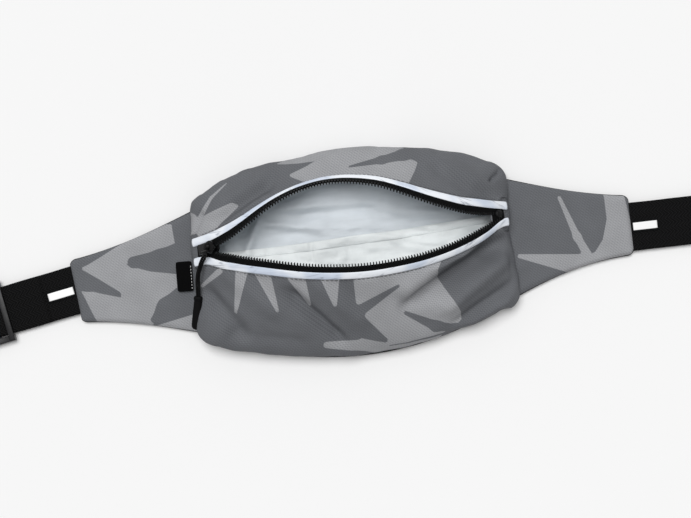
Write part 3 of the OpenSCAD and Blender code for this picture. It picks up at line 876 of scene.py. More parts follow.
def build_lining_wall(side, name, node, lip, material):
    """Loose satin under a wall, from the back seam up to the zipper tape's inner edge."""
    columns, rows = 120, 40
    covered, _, u, v = wall_grid(side, columns, rows, 0.02)
    x = covered[..., 0]
    slack = 1.2 + np.sin(np.pi * v) + 0.7 * layered(x / 34, v * 2.2, 31)
    slack = slack + 0.7 * crease(noise(x / 40, v * 3.5, 33), 0.2)
    slack = np.maximum(slack, 0.2) * smooth(v / 0.2) * smooth((1.02 - v) / 0.2)
    wall = covered + side * normals(covered) * (2.0 + slack)[..., None]
    edge_u, share = np.meshgrid(np.linspace(-1, 1, columns), np.linspace(0, 1, 9)[1:])
    edge_t = panel_edge(side, edge_u) * (1 - share) + (tape_edge + 1.4) * share
    edge = lip_point(side, edge_u, edge_t, -1.5)
    outer = np.concatenate([wall, edge])
    inner = outer + side * normals(outer) * 0.45
    weights = np.concatenate([wall_turn(side, u, v), lip_weight(side, edge_u)])
    piece = make(name, *shell(outer, inner), material=material)
    bend(piece, "pack", lip, both(weights))
    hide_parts(node)


# ---- zipper and piping ----

def lip_strip(side, name, lip, t_values, lift, base, material, columns=260, reach=1.0, to_panel=False,
              crinkle=None):
    """A long strip that follows a lip: lift and base are its upper and lower surface over the tape's line.

    With to_panel, its outer edge follows the panel's folded edge. It stands for the CAD node of its own name.
    """
    u, t = np.meshgrid(np.linspace(-reach, reach, columns), t_values)
    if to_panel:
        t = piping_in + (t - piping_in) * (panel_edge(side, u) - piping_in) / (panel_in - piping_in)
    top = np.broadcast_to(np.asarray(lift, float)[:, None], u.shape)
    if crinkle is not None:
        top = top + crinkle(u, t)
    low = np.broadcast_to(np.asarray(base, float)[:, None], u.shape)
    piece = make(name, *shell(lip_point(side, u, t, top), lip_point(side, u, t, low)), material=material)
    attach(piece, "cloth", both(np.dstack([zip_half * u, t, np.zeros(u.shape)])), "FLOAT_VECTOR")
    bend(piece, "pack", lip, both(lip_weight(side, u)))
    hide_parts(name)


def build_piping(side, name, lip, material):
    def crinkle(u, t):
        x = zip_half * u
        share = (t - piping_in) / (piping_out - piping_in)
        body = np.sin(np.pi * np.clip(share, 0.02, 0.98))
        lines = crease(noise(x / 15 + 0.9 * share, share * 0.8 + 5 * side, 41), 0.09)
        return body * (0.12 * noise(x / 6, share * 1.3, 42) - 0.35 * lines)

    share = np.linspace(0, 1, 11)
    t_values = piping_in - 0.4 + (piping_out - piping_in + 1.0) * share
    crown = 0.15 + 0.95 * np.sqrt(np.maximum(0, 1 - (2 * share - 1) ** 2))
    lip_strip(side, name, lip, t_values, crown, crown * 0 - 0.3, material, columns=330, reach=1.035,
              to_panel=True, crinkle=crinkle)


def build_tape(side, name, lip, material):
    t_values = np.linspace(tape_edge, piping_in + 0.6, 9)
    share = np.linspace(0, 1, 9)
    lift = 0.35 + 0.25 * np.sin(np.pi * share)
    lip_strip(side, name, lip, t_values, lift, lift * 0 - 0.35, material)


def build_teeth(side, name, lip, material):
    """Moulded teeth along a lip's edge; the two sides' teeth are half a pitch apart."""
    pitch = tooth_pitch / zip_r
    count = int(2 * math.asin(0.985 * zip_half / zip_r) / pitch)
    shift = 0.25 if side < 0 else -0.25
    template = [(-0.4, -0.45), (-0.24, -0.6), (0.24, -0.6), (0.4, -0.45), (0.3, 0.4), (0.46, 1.9),
                (-0.46, 1.9), (-0.3, 0.4)]
    parts, weights = [], []
    for i in range(count):
        angle = (i - (count - 1) / 2 + shift) * pitch
        u = zip_r * math.sin(angle) / zip_half
        step = 1.08 / zip_half * math.cos(angle)
        points = []
        for lift, inset in ((-1.15, 0.86), (-0.95, 1.0), (0.95, 1.0), (1.15, 0.86)):
            for across, t in template:
                place = 1.0 + (t - 1.0) * (0.9 + 0.1 * inset)
                points.append(lip_point(side, u + step * across * inset, place, lift))
        faces = grid_faces(4, 8, wrap=True) + [list(range(8)), list(range(24, 32))]
        parts.append((np.array(points), faces))
        weights += [float(lip_weight(side, np.array(u)))] * 32
    piece = make(name, *joined(parts), material=material, smooth_faces=False)
    bend(piece, "pack", lip, weights)
    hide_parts(name)


def build_edge_stitches(side, name, lip, material):
    """The row of thread that holds the piping, just inside the panel's edge."""
    u = np.linspace(-0.97, 0.97, 400)
    line = lip_point(side, u, panel_edge(side, u) + 0.9, 0.0)
    lead = lip_point(side, u, panel_edge(side, u) + 0.9, 1.0) - line
    parts = stitch_row(line, 2.3, 1.1, 0.26, up=tuple(lead.mean(0)))
    points, faces = joined(parts)
    weights = lip_weight(side, points[:, 0] / zip_half)
    piece = make(name, points, faces, material=material)
    bend(piece, "pack", lip, weights)


def build_end_patch(side, name, material):
    """The narrow piece of cloth between the two panels at an end of the pouch."""
    rows, columns = 40, 26
    v = np.linspace(0, 1, rows)
    low_edge = wall_point(-1, np.full(rows, float(side)), v)
    high_edge = wall_point(1, np.full(rows, float(side)), v)
    share = np.linspace(0, 1, columns)
    wall = low_edge[:, None] * (1 - share)[None, :, None] + high_edge[:, None] * share[None, :, None]
    belly = np.sin(np.pi * share)[None, :] * np.sin(np.pi * np.clip(v, 0, 1))[:, None]
    wall[..., 0] += side * (2.2 * belly - 0.6 + 0.5 * noise(share[None] * 3, v[:, None] * 3, 51))
    tops = []
    for u in np.linspace(1.0, 0.925, 8)[1:]:
        t = np.linspace(-panel_in, panel_in, columns)
        row = [lip_point(1 if k > 0 else -1, side * u, abs(k), -1.0) for k in t]
        tops.append(np.array(row))
    outer = np.concatenate([wall, np.array(tops)])
    inner = outer - stack(side, 0, 0) * 0.9 - stack(0, 0, 0.5)
    piece = make(name, *shell(outer, inner), body="pack", slot="plain_fabric", material=material)
    cloth = np.dstack([outer[..., 1], outer[..., 2] + outer[..., 0], np.zeros(outer.shape[:2])])
    attach(piece, "cloth", both(cloth), "FLOAT_VECTOR")
    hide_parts(name)


def build_zip_ends(fabric, plastic):
    """The joined tapes and the moulded stop at each end of the zipper."""
    for side, name, middle, half in ((-1, "left_zip_stop", 0.972, 3.8), (1, "right_zip_stop", 0.968, 4.6)):
        u, t = np.meshgrid(side * middle + np.linspace(-half, half, 14) / zip_half, np.linspace(-1, 1, 25))
        wide = piping_in - 0.6
        layers = []
        for lift in (0.5, -0.7):
            upper = lip_point(1, u, np.maximum(t, 0) * wide, lift)
            lower = lip_point(-1, u, np.maximum(-t, 0) * wide, lift)
            layers.append(np.where((t > 0)[..., None], upper, lower))
        tape = make(name + "_tape", *shell(*layers), slot="zip_tape", material=fabric)
        attach(tape, "cloth", both(np.dstack([zip_half * u, t * wide, u * 0])), "FLOAT_VECTOR")
        bend(tape, "pack", "lower_lip", both(np.where(t > 0, 0, lip_weight(-1, u))))
        spread = np.linspace(-2.4, 2.4, 9)
        path = np.array([lip_point(1, side * middle + s / zip_half, 0.0, 0.9) for s in spread])
        size = np.array([0.55, 0.85, 0.97, 1, 1, 1, 0.97, 0.85, 0.55])
        stop = make(name + "_block", *sweep(path, oval(2.6, 1.2, 16, 0.55)[None] * size[:, None, None]),
                    body="pack", slot="zip_teeth", material=plastic)
        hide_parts(name)


# ---- inside ----

def plan_edge(x, least):
    """Half height of the pouch's plan along its length. The root in its round corners is at least least."""
    rounding = np.sqrt(np.maximum(least, 1 - ((np.abs(x) - corner_x) / corner_r) ** 2))
    arch = half_h - edge_fall * (x / corner_x) ** 2
    return np.where(np.abs(x) <= corner_x, arch, wall_h + corner_r * rounding)


def plan_scale(points_x, points_y):
    """0 in the middle of the pouch's plan and 1 on its outline."""
    reach = np.minimum(np.abs(points_x) / half_len, 0.999)
    return np.maximum(reach, np.abs(points_y - mid_y) / plan_edge(points_x, 0))


def plan_grid(inset, columns=150, rows=90):
    """A grid over the pouch's plan, drawn in from its outline."""
    a, b = np.meshgrid(np.linspace(-1, 1, columns), np.linspace(-1, 1, rows))
    x = (half_len - inset) * np.sin(a * np.pi / 2) * 0.35 + (half_len - inset) * a * 0.65
    return x, mid_y + b * (plan_edge(x, 0.02) - inset), a, b


def floor_height(x, y):
    """Height of the loose lining over the back panel."""
    inward = np.clip((1 - plan_scale(x, y)) * 4, 0, 1)
    puff = 7.5 * smooth(inward) + 2.2 * layered(x / 60, y / 22, 61) * smooth(inward)
    puff = puff + 1.1 * noise(x / 55, y / 7 + x / 90, 62)
    puff = puff - 1.2 * crease(noise(x / 70 + 3, y / 13 + x / 120, 63), 0.10)
    for start, end, width, depth in (
            ((-54, 42), (26, 40), 2.6, 2.6), ((-50, 36), (20, 35), 4.5, -1.8),
            ((-68, 33), (-20, 22), 2.8, 2.8), ((-62, 27), (-20, 17), 4.5, -1.8),
            ((-68, 40), (-83, 10), 3.2, 3.4), ((-77, 40), (-92, 12), 5.0, -3.0),
            ((30, 34), (92, 22), 3.5, 1.8), ((20, 26), (80, 17), 4.0, -1.4)):
        puff = puff + fold(x, y, start, end, width, depth)
    return back_t + 0.8 + np.maximum(puff, 0.15) * smooth(inward * 3)


def lining_sheet(name, top, low, material):
    """A piece of lining between two surfaces, which stands for the CAD node of its own name."""
    piece = make(name, *shell(top, low), body="pack", slot="lining", material=material)
    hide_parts(name)
    return piece


def build_floor_lining(material):
    x, y = plan_grid(4.0)[:2]
    top = stack(x, y, floor_height(x, y))
    lining_sheet("back_lining", top, top - stack(0, 0, 0.45), material)


pocket_top = box_of("pocket_hem")[1][1]


def pocket_line(x):
    """The pocket's open edge, which hangs a little between its two ends."""
    return pocket_top - 3.0 + 0.026 * x - 1.5 * (1 - (x / 116) ** 2) + 0.7 * noise(x / 19, 0.5, 71)


def build_pocket(material):
    """A flat pocket of lining on the back wall, open along its hem."""
    columns, rows = 150, 60
    a, b = np.meshgrid(np.linspace(-1, 1, columns), np.linspace(0, 1, rows))
    x = a * (half_len - 9)
    edge = half_h - edge_fall * np.minimum(1, np.abs(x) / corner_x) ** 2 - 9
    low = mid_y - np.where(np.abs(x) > corner_x, edge - 6 * smooth((np.abs(x) - corner_x) / 6), edge)
    y = low + (pocket_line(x) - low) * b
    crumple = layered(x / 16, y / 13, 72) * 1.5 + 1.8 * noise(x / 30, y / 24, 73)
    crumple = crumple - 1.3 * crease(noise(x / 20, y / 26 + x / 70, 74), 0.12)
    held = smooth((1 - np.abs(a)) / 0.08) * smooth(b / 0.1)
    z = floor_height(x, y) + 0.7 + np.maximum(0.0, 1.5 + crumple) * held
    top = stack(x, y, z)
    cloth = lining_sheet("inner_pocket", top, top - stack(0, 0, 0.4), material)
    deep = pocket_line(x[0]) - low[0]
    share = np.linspace(0, 1, 9)
    pick = np.array([np.interp(1 - (1 - s) * 0.085, np.linspace(0, 1, rows), np.arange(rows)) for s in share])
    band = np.array([[top[int(p), i] * (1 - p % 1) + top[min(int(p) + 1, rows - 1), i] * (p % 1)
                      for i in range(columns)] for p in pick])
    lift = 0.06 + 0.9 * np.sin(np.pi * share) ** 0.8
    upper = band + stack(0, 0, 1) * lift[:, None, None]
    upper[..., 2] += 0.25 * noise(upper[..., 0] / 6, share[:, None] * 2, 75)
    hem = lining_sheet("pocket_hem", upper, band - stack(0, 0, 0.5), material)
    line = upper[2, 6:-6] + stack(0, 0, 0.05)
    rows_of = stitch_row(line, 2.0, 1.2, 0.14)
    thread = thread_material("lining_thread", (232, 236, 238))
    stitches = make("pocket_hem_stitches", *joined(rows_of), body="pack", slot="lining", material=thread)


# ---- back panel and wings ----

def inflate(piece, held, pressure, cap, stiffness=15.0):
    """Swells a closed padded piece with a cloth simulation and keeps each point within cap of its start."""
    mesh = piece.data
    start = np.array([v.co for v in mesh.vertices], float)
    group = piece.vertex_groups.new(name="held")
    group.add([int(i) for i in np.flatnonzero(held)], 1.0, "REPLACE")
    cloth = piece.modifiers.new("cloth", "CLOTH")
    settings = cloth.settings
    settings.quality = 5
    settings.mass = 0.3
    settings.tension_stiffness = stiffness
    settings.compression_stiffness = stiffness
    settings.bending_stiffness = 0.4
    settings.use_pressure = True
    settings.uniform_pressure_force = pressure
    settings.vertex_group_mass = "held"
    settings.effector_weights.gravity = 0
    cloth.collision_settings.use_self_collision = False
    scene = bpy.context.scene
    for step in range(1, 21):
        scene.frame_set(step)
    settled = piece.evaluated_get(bpy.context.evaluated_depsgraph_get()).data
    moved = np.array([v.co for v in settled.vertices], float)
    piece.modifiers.remove(cloth)
    scene.frame_set(1)
    way = moved - start
    far = np.linalg.norm(way, axis=1, keepdims=True)
    end = start + way * np.minimum(1, cap * MM / np.maximum(far, 1e-9))
    mesh.vertices.foreach_set("co", end.ravel())
    mesh.update()


def subdivided(piece, levels=1):
    """Applies a subdivision to the piece's mesh."""
    smoother = piece.modifiers.new("smoother", "SUBSURF")
    smoother.levels = smoother.render_levels = levels
    made = bpy.data.meshes.new_from_object(piece.evaluated_get(bpy.context.evaluated_depsgraph_get()))
    piece.modifiers.clear()
    old = piece.data
    piece.data = made
    bpy.data.meshes.remove(old)
    made.polygons.foreach_set("use_smooth", [True] * len(made.polygons))


def points_of(piece):
    return np.array([v.co for v in piece.data.vertices], float) / MM


def build_back_panel(material, edging):
    """The padded mesh panel against the body, with sewn channels."""
    x, y, a, b = plan_grid(seam_in + 0.8, 90, 58)
    rim = smooth((1 - np.maximum(np.abs(a), np.abs(b))) * 14)
    top = stack(x, y, back_t - 1.4 * (1 - rim))
    low = stack(x, y, 1.6 * (1 - rim) + 0.5)
    points, faces = shell(top, low)
    piece = make("back_panel", points, faces, material=material)
    inside = rim.ravel() > 0.5
    held = np.concatenate([np.ones(rim.size, bool), ~inside])
    inflate(piece, held, 4.0, 1.6)
    subdivided(piece, 1)
    spots = points_of(piece)
    channel = np.zeros(len(spots))
    for centre in (-70.0, 0.0, 70.0):
        bow = centre * (1 + 0.16 * ((spots[:, 1] - mid_y) / 60) ** 2)
        channel += hill(spots[:, 0], bow, 2.2)
    ends = smooth((62 - np.abs(spots[:, 1] - mid_y)) / 8)
    below = spots[:, 2] < back_t / 2
    spots[below, 2] += 1.9 * (channel * ends)[below]
    spots[:, 2] = np.maximum(spots[:, 2], 0.0)
    piece.data.vertices.foreach_set("co", (spots * MM).ravel())
    attach(piece, "cloth", spots, "FLOAT_VECTOR")
    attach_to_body(piece, "pack")
    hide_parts("back_panel")
    u = np.linspace(-1, 1, 260)
    front = seam_point(-1, u)
    rear = seam_point(1, u[::-1])
    line = np.concatenate([front[0] - 0.4 * front[1], rear[0] - 0.4 * rear[1]])
    line[:, 2] = seam_z - 1.4
    welt = make("back_seam_binding", *sweep(line, oval(1.5, 2.3, 12, 0.8), closed=True), body="pack",
                slot="tab_tape", material=edging)
    wind_cloth(welt, len(line), 1.0)


def wind_cloth(piece, count, step):
    """Cloth coordinates of a swept tube with 12 sides, along it and around it."""
    ring = np.repeat(np.arange(count) * step, 12)
    around = np.tile(np.arange(12) * 0.8, count)
    attach(piece, "cloth", np.stack([ring, around, ring * 0], -1), "FLOAT_VECTOR")


def wing_plan(side, s, c):
    """A point of a wing in plan: s runs from its root to its end and c from its lower to its upper edge."""
    root, end = wing_top[side]
    high = end + (root - end) * np.maximum(0, 1 - s) ** 1.32
    root, end = wing_low[side]
    low = end + (root - end) * np.maximum(0, 1 - s) ** (1.5 if side < 0 else 1.8)
    round_off = 1 - np.sqrt(np.maximum(0, 1 - np.clip((s - 0.955) / 0.045, 0, 1) ** 2))
    high, low = high - 4.0 * round_off, low + (2.5 if side < 0 else 4.5) * round_off
    y = low + (high - low) * c
    x = wing_root - 3.0 + (wing_reach - wing_root + 3.0) * s + (wing_tilt[side] * (y + 2) - 0.6) * s ** 3
    return side * x, y


def wing_weight(x):
    """A wing's cloth bends where it leaves the pouch."""
    return smooth((np.abs(x) - (wing_root - 3.0)) / 9.0)


def build_wing(side, label, body, print_of, fabric, mesh_fabric, edging):
    bend_from, bend_to = (side * 0.123, 0, 0), (side * 0.132, 0, 0)
    columns, rows = 46, 36
    spread = np.linspace(0, 1, columns)
    s, c = np.meshgrid(spread ** 0.95, np.linspace(0, 1, rows))
    x, y = wing_plan(side, s, c)
    edge = np.minimum(np.minimum(c, 1 - c) * rows / 3.0, (1 - s) * columns / 3.0)
    rim = np.sqrt(np.clip(1 - (1 - np.clip(edge, 0, 1)) ** 2, 0, 1))
    puff = 1 + 0.05 * layered(x / 30, y / 30, 81 + side)
    top = stack(x, y, pad_t + 0.6 + (wing_t - pad_t - 1.3) * rim * puff)
    low = stack(x, y, np.full(x.shape, pad_t - 0.1))
    cover = make(label + "_wing_cover", *shell(top, low), material=fabric)
    held = np.concatenate([(edge < 0.9).ravel() | (s.ravel() < 0.04), np.ones(rim.size, bool)])
    inflate(cover, held, 5.0, 2.0)
    subdivided(cover, 2)
    spots = points_of(cover)
    px, py = spots[:, 0], spots[:, 1]
    upper = spots[:, 2] > pad_t + 1.5
    inner = np.abs(px) < wing_reach - 8
    wrinkle = 0.35 * layered(px / 24, py / 16, 83 + side)
    wrinkle = wrinkle - 0.8 * fold(px, py, (side * 128, -20), (side * 150, 26), 5, 1.0)
    spots[:, 2] += np.where(upper & inner, wrinkle, 0)
    cover.data.vertices.foreach_set("co", (spots * MM).ravel())
    attach(cover, "print", print_of(px, py))
    attach(cover, "cloth", np.stack([px, py, px * 0], -1), "FLOAT_VECTOR")
    bend(cover, "pack", body, wing_weight(px), bend_from, bend_to)
    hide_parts(label + "_wing_cover", label + "_web_anchor")

    pad_top = stack(x, y, pad_t - 0.2 - 0.8 * (1 - rim))
    pad_low = stack(x, y, 0.3 + 1.4 * (1 - rim))
    pad = make(label + "_wing_pad", *shell(pad_top, pad_low), material=mesh_fabric)
    low_held = (edge < 0.9).ravel() | (s.ravel() < 0.04)
    inflate(pad, np.concatenate([np.ones(rim.size, bool), low_held]), 4.0, 0.6)
    subdivided(pad, 1)
    spots = points_of(pad)
    spots[:, 2] = np.maximum(spots[:, 2], 0.0)
    pad.data.vertices.foreach_set("co", (spots * MM).ravel())
    attach(pad, "cloth", spots, "FLOAT_VECTOR")
    bend(pad, "pack", body, wing_weight(spots[:, 0]), bend_from, bend_to)
    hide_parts(label + "_wing_pad")

    count = 90
    lower = np.stack(wing_plan(side, np.linspace(0, 0.955, count), np.zeros(count)), -1)
    upper_edge = np.stack(wing_plan(side, np.linspace(0.955, 0, count), np.ones(count)), -1)
    nose_s = np.concatenate([0.955 + 0.045 * np.sin(np.linspace(0.1, np.pi / 2, 8)), np.ones(24),
                             0.955 + 0.045 * np.sin(np.linspace(np.pi / 2, 0.1, 8))])
    nose_c = np.concatenate([np.zeros(8), np.linspace(0, 1, 26)[1:-1], np.ones(8)])
    nose = np.stack(wing_plan(side, nose_s, nose_c), -1)
    plan = np.concatenate([lower, nose, upper_edge])
    inward = unit(np.array([side * (wing_root + 40), 0.0]) - plan)
    line = np.column_stack([plan + 0.9 * inward, np.full(len(plan), pad_t - 1.4)])
    binding = make(label + "_wing_binding", *sweep(line, oval(1.0, 2.0, 12, 0.8)), material=edging)
    wind_cloth(binding, len(line), 1.2)
    where = points_of(binding)
    bend(binding, "pack", body, wing_weight(where[:, 0]), bend_from, bend_to)


def build_label(material, thread):
    low, high = box_of("side_label")
    centre = (low + high) / 2
    columns, rows = 14, 26
    a, b = np.meshgrid(np.linspace(-1, 1, columns), np.linspace(-1, 1, rows))
    tilt = math.radians(-2)
    wide, tall = 6.25, 11.75
    corner = 1 - 0.05 * (np.abs(a) ** 6) * (np.abs(b) ** 6)
    x, y = wide * a * corner, tall * b * corner
    lift = 0.9 * ((1 - a) / 2) ** 2 + 0.25 * np.sin(b * 2.4) * (1 - a) / 2
    turned_x = centre[0] + x * math.cos(tilt) - y * math.sin(tilt)
    turned_y = centre[1] + x * math.sin(tilt) + y * math.cos(tilt)
    top = stack(turned_x, turned_y, centre[2] + 0.35 + lift + 0 * x)
    piece = make("side_label", *shell(top, top - stack(0, 0, 0.7)), body="left_hip_wing", slot="label",
                 material=material)
    attach(piece, "cloth", both(np.dstack([x, y, x * 0])), "FLOAT_VECTOR")
    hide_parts("side_label")
    line = top[1:-1, -2] + stack(0, 0, 0.12)
    seam = stitch_row(line, 1.3, 1.1, 0.24)
    make("side_label_stitches", *joined(seam), body="left_hip_wing", slot="label", material=thread)


# ---- straps ----

def strap_point(side, along, across, z):
    """A point of a strap's own frame, which starts at the wing's end."""
    c, s = math.cos(strap_angle[side]), math.sin(strap_angle[side])
    return stack(side * wing_reach + along * c - across * s, strap_y + along * s + across * c, z)


def web_mesh(side, path, width=web_w, thick=web_t, rows=15):
    """Webbing that follows a path of (along, z) points, with rounded edges; also its cloth coordinates."""
    path = np.asarray(path, float)
    way = unit(np.gradient(path, axis=0))
    normal = np.stack([-way[:, 1], way[:, 0]], -1)
    reach = np.concatenate([[0], np.cumsum(np.linalg.norm(np.diff(path, axis=0), axis=1))])
    c = np.sin(np.linspace(-1, 1, rows) * np.pi / 2)
    half = thick / 2 * np.sqrt(np.maximum(0.06, 1 - np.maximum(0, (np.abs(c) - 0.93) / 0.07) ** 2))
    wobble = 0.12 * noise(reach / 14, 0.5, 91)
    layers = []
    for sign in (1, -1):
        p = path[None] + sign * half[:, None, None] * normal[None]
        across = np.broadcast_to((c * width / 2)[:, None], p.shape[:2]) + wobble[None] * c[:, None]
        layers.append(strap_point(side, p[..., 0], across, p[..., 1]))
    shape = layers[0].shape[:2]
    across = np.broadcast_to((c * width / 2)[:, None], shape)
    cloth = np.dstack([np.broadcast_to(reach[None], shape) + path[0, 0], across, np.zeros(shape)])
    along = np.broadcast_to(path[None, :, 0], shape)
    return shell(*layers), both(cloth), both(along)


def straight(start, end, z, step=2.0):
    count = max(2, int(abs(end - start) / step) + 1)
    return np.column_stack([np.linspace(start, end, count), np.full(count, z)])


def half_turn(at):
    """Webbing's middle line from its upper to its lower run around a buckle's bar."""
    a = np.linspace(np.pi / 2, -np.pi / 2, 17)
    return np.column_stack([at + fold_r * np.cos(a), web_mid - fold_r + fold_r * np.sin(a)])


def strap_piece(name, side, path, body, slot, material, width=web_w, thick=web_t):
    (points, faces), cloth, along = web_mesh(side, path, width, thick)
    piece = make(name, points, faces, material=material, slot=slot)
    attach(piece, "cloth", cloth, "FLOAT_VECTOR")
    if body:
        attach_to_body(piece, body)
    return piece, along


def box_stitch(name, side, start, end, half, z, body, material):
    """A sewn rectangle with a cross in it."""
    corners = [(start, -half), (end, -half), (end, half), (start, half), (start, -half)]
    parts = []
    for a, b in list(zip(corners, corners[1:])) + [(corners[0], corners[2]), (corners[3], corners[1])]:
        line = np.linspace(a, b, 40)
        parts += stitch_row(strap_point(side, line[:, 0], line[:, 1], z), 2.2, 1.0, 0.24)
    make(name, *joined(parts), body=body, slot="webbing", material=material)


def root_bend(side, along):
    """How webbing bends where it leaves a wing."""
    label = "left" if side < 0 else "right"
    weights = smooth((along + 1.5) / 5.5)
    return label + "_hip_wing", label + "_belt", weights, (side * 0.219, 0, 0), (side * 0.225, 0, 0)


def build_tag(label, side, tape, film):
    """A reflective bar on a slightly wider tape, sewn along the middle of the strap by the wing."""
    low, high = box_of(label + "_strap_reflector")
    tag_end = max(abs(low[0]), abs(high[0])) - wing_reach
    start = 0.4
    for part, z_shift, end, wide, thick, material, slot in (
            ("_strap_tape", 0.35, tag_end + 1.2, 9.5, 0.7, tape, "tab_tape"),
            ("_strap_reflector", 0.95, tag_end, 5.9, 0.4, film, "reflector")):
        path = straight(start, end, web_mid + web_t / 2 + z_shift, 1.0)
        piece, along = strap_piece(label + part, side, path, None, slot, material, wide, thick)
        wing, belt, weights, near, far = root_bend(side, along)
        bend(piece, wing, belt, weights, near, far)
        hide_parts(label + part)


def build_left_straps(web, tape, film):
    root, along = strap_piece("left_strap_root", -1, straight(-14, 24, web_mid), None, "webbing", web)
    bend(root, *root_bend(-1, along))
    run, along = strap_piece("left_strap", -1, straight(24, socket_dist, web_mid), None, "webbing", web)
    weights = smooth((along - 24) / (socket_dist - 30))
    bend(run, "left_belt", "loop_end", weights, (-0.25, 0, 0), (-0.43, 0, 0))
    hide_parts("left_strap")
    turn = half_turn(socket_dist)
    strap_piece("loop_strap_turn", -1, turn, "loop_end", "webbing", web)
    back = straight(socket_dist, 76.0, turn[-1, 1])
    lower, along = strap_piece("loop_strap", -1, back, None, "webbing", web)
    weights = smooth((socket_dist - 4 - along) / (socket_dist - 88))
    bend(lower, "loop_end", "adjuster", weights, (-0.43, 0, 0), (-0.3, 0, 0))
    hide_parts("loop_strap")
    build_tag("left", -1, tape, film)


def build_right_strap(web, tape, film, thread):
    upper = np.concatenate([straight(-14, plug_dist, web_mid), half_turn(plug_dist)[1:],
                            straight(plug_dist, plug_dist - 46, web_mid - 2 * fold_r)[1:]])
    piece, along = strap_piece("right_strap", 1, upper, None, "webbing", web)
    bend(piece, *root_bend(1, along))
    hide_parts("right_strap")
    stitch_z = web_mid + web_t / 2 + 0.05
    box_stitch("right_strap_box_stitch", 1, plug_dist - 21, plug_dist - 6, 15, stitch_z, "right_belt", thread)
    build_tag("right", 1, tape, film)


# ---- moulded parts ----

def refined(node, body, material, bevel=0.45, segments=3):
    """The CAD solid's own shape with its flat faces merged and its edges rounded."""
    source = frame["nodes"][node]
    mesh = source.data.copy()
    mesh.name = node + "_moulded"
    work = bmesh.new()
    work.from_mesh(mesh)
    bmesh.ops.remove_doubles(work, verts=work.verts, dist=1e-6)
    bmesh.ops.dissolve_limit(work, angle_limit=math.radians(1), verts=work.verts, edges=work.edges)
    work.to_mesh(mesh)
    work.free()
    piece = bpy.data.objects.new(node + "_moulded", mesh)
    bpy.context.scene.collection.objects.link(piece)
    rounding = piece.modifiers.new("rounding", "BEVEL")
    rounding.width = bevel * MM
    rounding.segments = segments
    rounding.limit_method = "ANGLE"
    rounding.angle_limit = math.radians(30)
    rounding.harden_normals = False
    made = bpy.data.meshes.new_from_object(piece.evaluated_get(bpy.context.evaluated_depsgraph_get()))
    piece.modifiers.clear()
    piece.data = made
    made.polygons.foreach_set("use_smooth", [True] * len(made.polygons))
    made.set_sharp_from_angle(angle=math.radians(35))
    made.materials.clear()
    made.materials.append(material)
    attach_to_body(piece, body)
    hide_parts(node)
    return piece


cord_route = np.array([
    [-113.4, 11.6, 41.9], [-115.4, 8.6, 41.1], [-117.6, 4.2, 39.0], [-119.8, -0.7, 36.0],
    [-121.0, -5.4, 32.4], [-121.8, -10.0, 28.6], [-122.7, -17.4, 24.2],
])
grip_top = np.array([-122.8, -17.4, 24.0])
grip_end = np.array([-127.4, -43.4, 16.2])


def rounded_path(points, count=60):
    """A smooth curve through a few points."""
    points = np.asarray(points, float)
    last = len(points) - 1
    s = np.linspace(0, last, count)
    i = np.minimum(s.astype(int), last - 1)
    f = (s - i)[:, None]
    p0, p1 = points[np.maximum(i - 1, 0)], points[i]
    p2, p3 = points[i + 1], points[np.minimum(i + 2, last)]
    squared = (2 * p0 - 5 * p1 + 4 * p2 - p3) * f ** 2
    cubed = (3 * p1 - p0 - 3 * p2 + p3) * f ** 3
    return 0.5 * (2 * p1 + (p2 - p0) * f + squared + cubed)


def build_puller(cord, rubber, metal):
    refined("pull_bail", "puller", metal, 0.3)
    line = rounded_path(np.vstack([cord_route, grip_top + (grip_end - grip_top) * 0.15]), 70)
    side, rise = run_frames(line)[1:]
    reach = np.concatenate([[0], np.cumsum(np.linalg.norm(np.diff(line, axis=0), axis=1))])
    parts, cloth = [], []
    for sign in (-1, 1):
        twist = 0.55 * np.sin(reach / 9.0)
        strand = line + sign * 0.93 * (side * np.cos(twist)[:, None] + rise * np.sin(twist)[:, None])
        parts.append(sweep(strand, oval(0.92, 0.92, 12)))
        around = np.tile(np.arange(12) * 0.5, len(line))
        cloth.append(np.stack([np.repeat(reach, 12), around, around * 0], -1))
    piece = make("pull_cord", *joined(parts), body="puller", slot="pull_cord", material=cord)
    attach(piece, "cloth", np.concatenate(cloth), "FLOAT_VECTOR")
    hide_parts("pull_cord")
    steps = np.array([0, 0.01, 0.03, 0.07, 0.10, 0.13, 0.17, 0.3, 0.45, 0.6, 0.75, 0.86, 0.93, 0.975, 1.0])
    wide = np.array([1.9, 2.8, 3.3, 3.5, 3.35, 3.1, 3.15, 3.4, 3.7, 4.0, 4.3, 4.4, 4.1, 3.1, 1.5])
    thick = np.array([1.2, 1.7, 2.0, 2.1, 2.0, 1.8, 1.8, 1.85, 1.9, 1.95, 2.0, 2.0, 1.8, 1.4, 0.7])
    path = grip_top + (grip_end - grip_top) * steps[:, None]
    profile = np.stack([oval(w, t, 24, 0.75) for w, t in zip(wide, thick)])
    grip = make("pull_grip", *sweep(path, profile), body="puller", slot="grip", material=rubber)
    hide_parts("pull_grip")


def build_hard_parts(enamel, plastic):
    refined("zip_slider", "slider", enamel, 0.35)
    refined("slider_cap", "slider", enamel, 0.3)
    refined("strap_adjuster", "adjuster", plastic, 0.8)
    refined("buckle_socket", "socket", plastic, 0.7)
    refined("buckle_plug", "plug", plastic, 0.7)
    refined("front_prong", "front_prong_arm", plastic, 0.5)
    refined("rear_prong", "rear_prong_arm", plastic, 0.5)


# ---- everything, in order ----

add_camera()
add_studio()

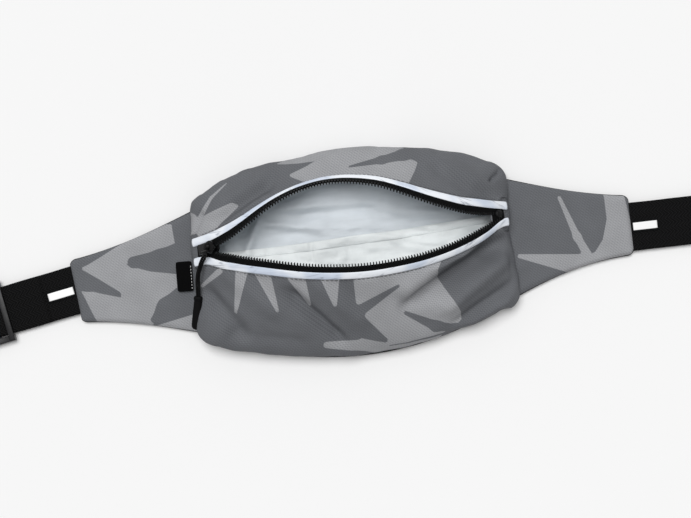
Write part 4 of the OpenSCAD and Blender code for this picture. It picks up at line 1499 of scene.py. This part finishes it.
fabric = printed_fabric()
plain = printed_fabric(printed=False)
satin = satin_lining("lining_satin", (213, 219, 224))
pocket_satin = satin_lining("pocket_satin", (236, 240, 240))
piping_film = reflective("piping_reflective")
strip_film = reflective("strip_reflective", creased=False)
black_tape = tape_fabric("zip_tape", (8, 9, 10))
edging_tape = tape_fabric("tab_tape", (14, 15, 16), 1.4)
teeth_plastic = moulded("zip_teeth", (14, 15, 16), 0.42, gloss=0.2)
enamel = moulded("slider_enamel", (7, 7, 8), 0.28, 1.2, 0.02)
buckle_plastic = moulded("buckle_plastic", (22, 22, 24), 0.4, 0.5, 0.04)
rubber = moulded("grip_rubber", (4, 4, 5), 0.6, 0.4, 0.05, gloss=0.12)
cord_braid = braided("pull_cord", (11, 11, 12))
web = webbing()
mesh_fabric = mesh_padding()
grey_thread = thread_material("grey_thread", (72, 73, 77))
black_thread = thread_material("black_thread", (34, 34, 37))
white_thread = thread_material("white_thread", (225, 225, 225))
label_weave = tape_fabric("label_weave", (8, 8, 9), 0.7)

for side, panel, lip in ((-1, "front", "lower"), (1, "top", "upper")):
    body = lip + "_lip"
    build_wall(side, panel + "_panel", panel + "_panel", body, fabric)
    build_lining_wall(side, panel + "_lining", panel + "_lining", body, satin)
    build_piping(side, lip + "_piping", body, piping_film)
    build_tape(side, lip + "_zip_tape", body, black_tape)
    build_teeth(side, lip + "_zip_teeth", body, teeth_plastic)
    build_edge_stitches(side, panel + "_edge_stitches", body, grey_thread)

for side, label in ((-1, "left"), (1, "right")):
    build_end_patch(side, label + "_end_patch", plain)
build_zip_ends(black_tape, teeth_plastic)
build_floor_lining(satin)
build_pocket(pocket_satin)
build_back_panel(mesh_fabric, edging_tape)
build_wing(-1, "left", "left_hip_wing", left_wing_print, fabric, mesh_fabric, edging_tape)
build_wing(1, "right", "right_hip_wing", right_wing_print, fabric, mesh_fabric, edging_tape)
build_label(label_weave, white_thread)
build_left_straps(web, edging_tape, strip_film)
build_right_strap(web, edging_tape, strip_film, black_thread)
build_puller(cord_braid, rubber, enamel)
build_hard_parts(enamel, buckle_plastic)
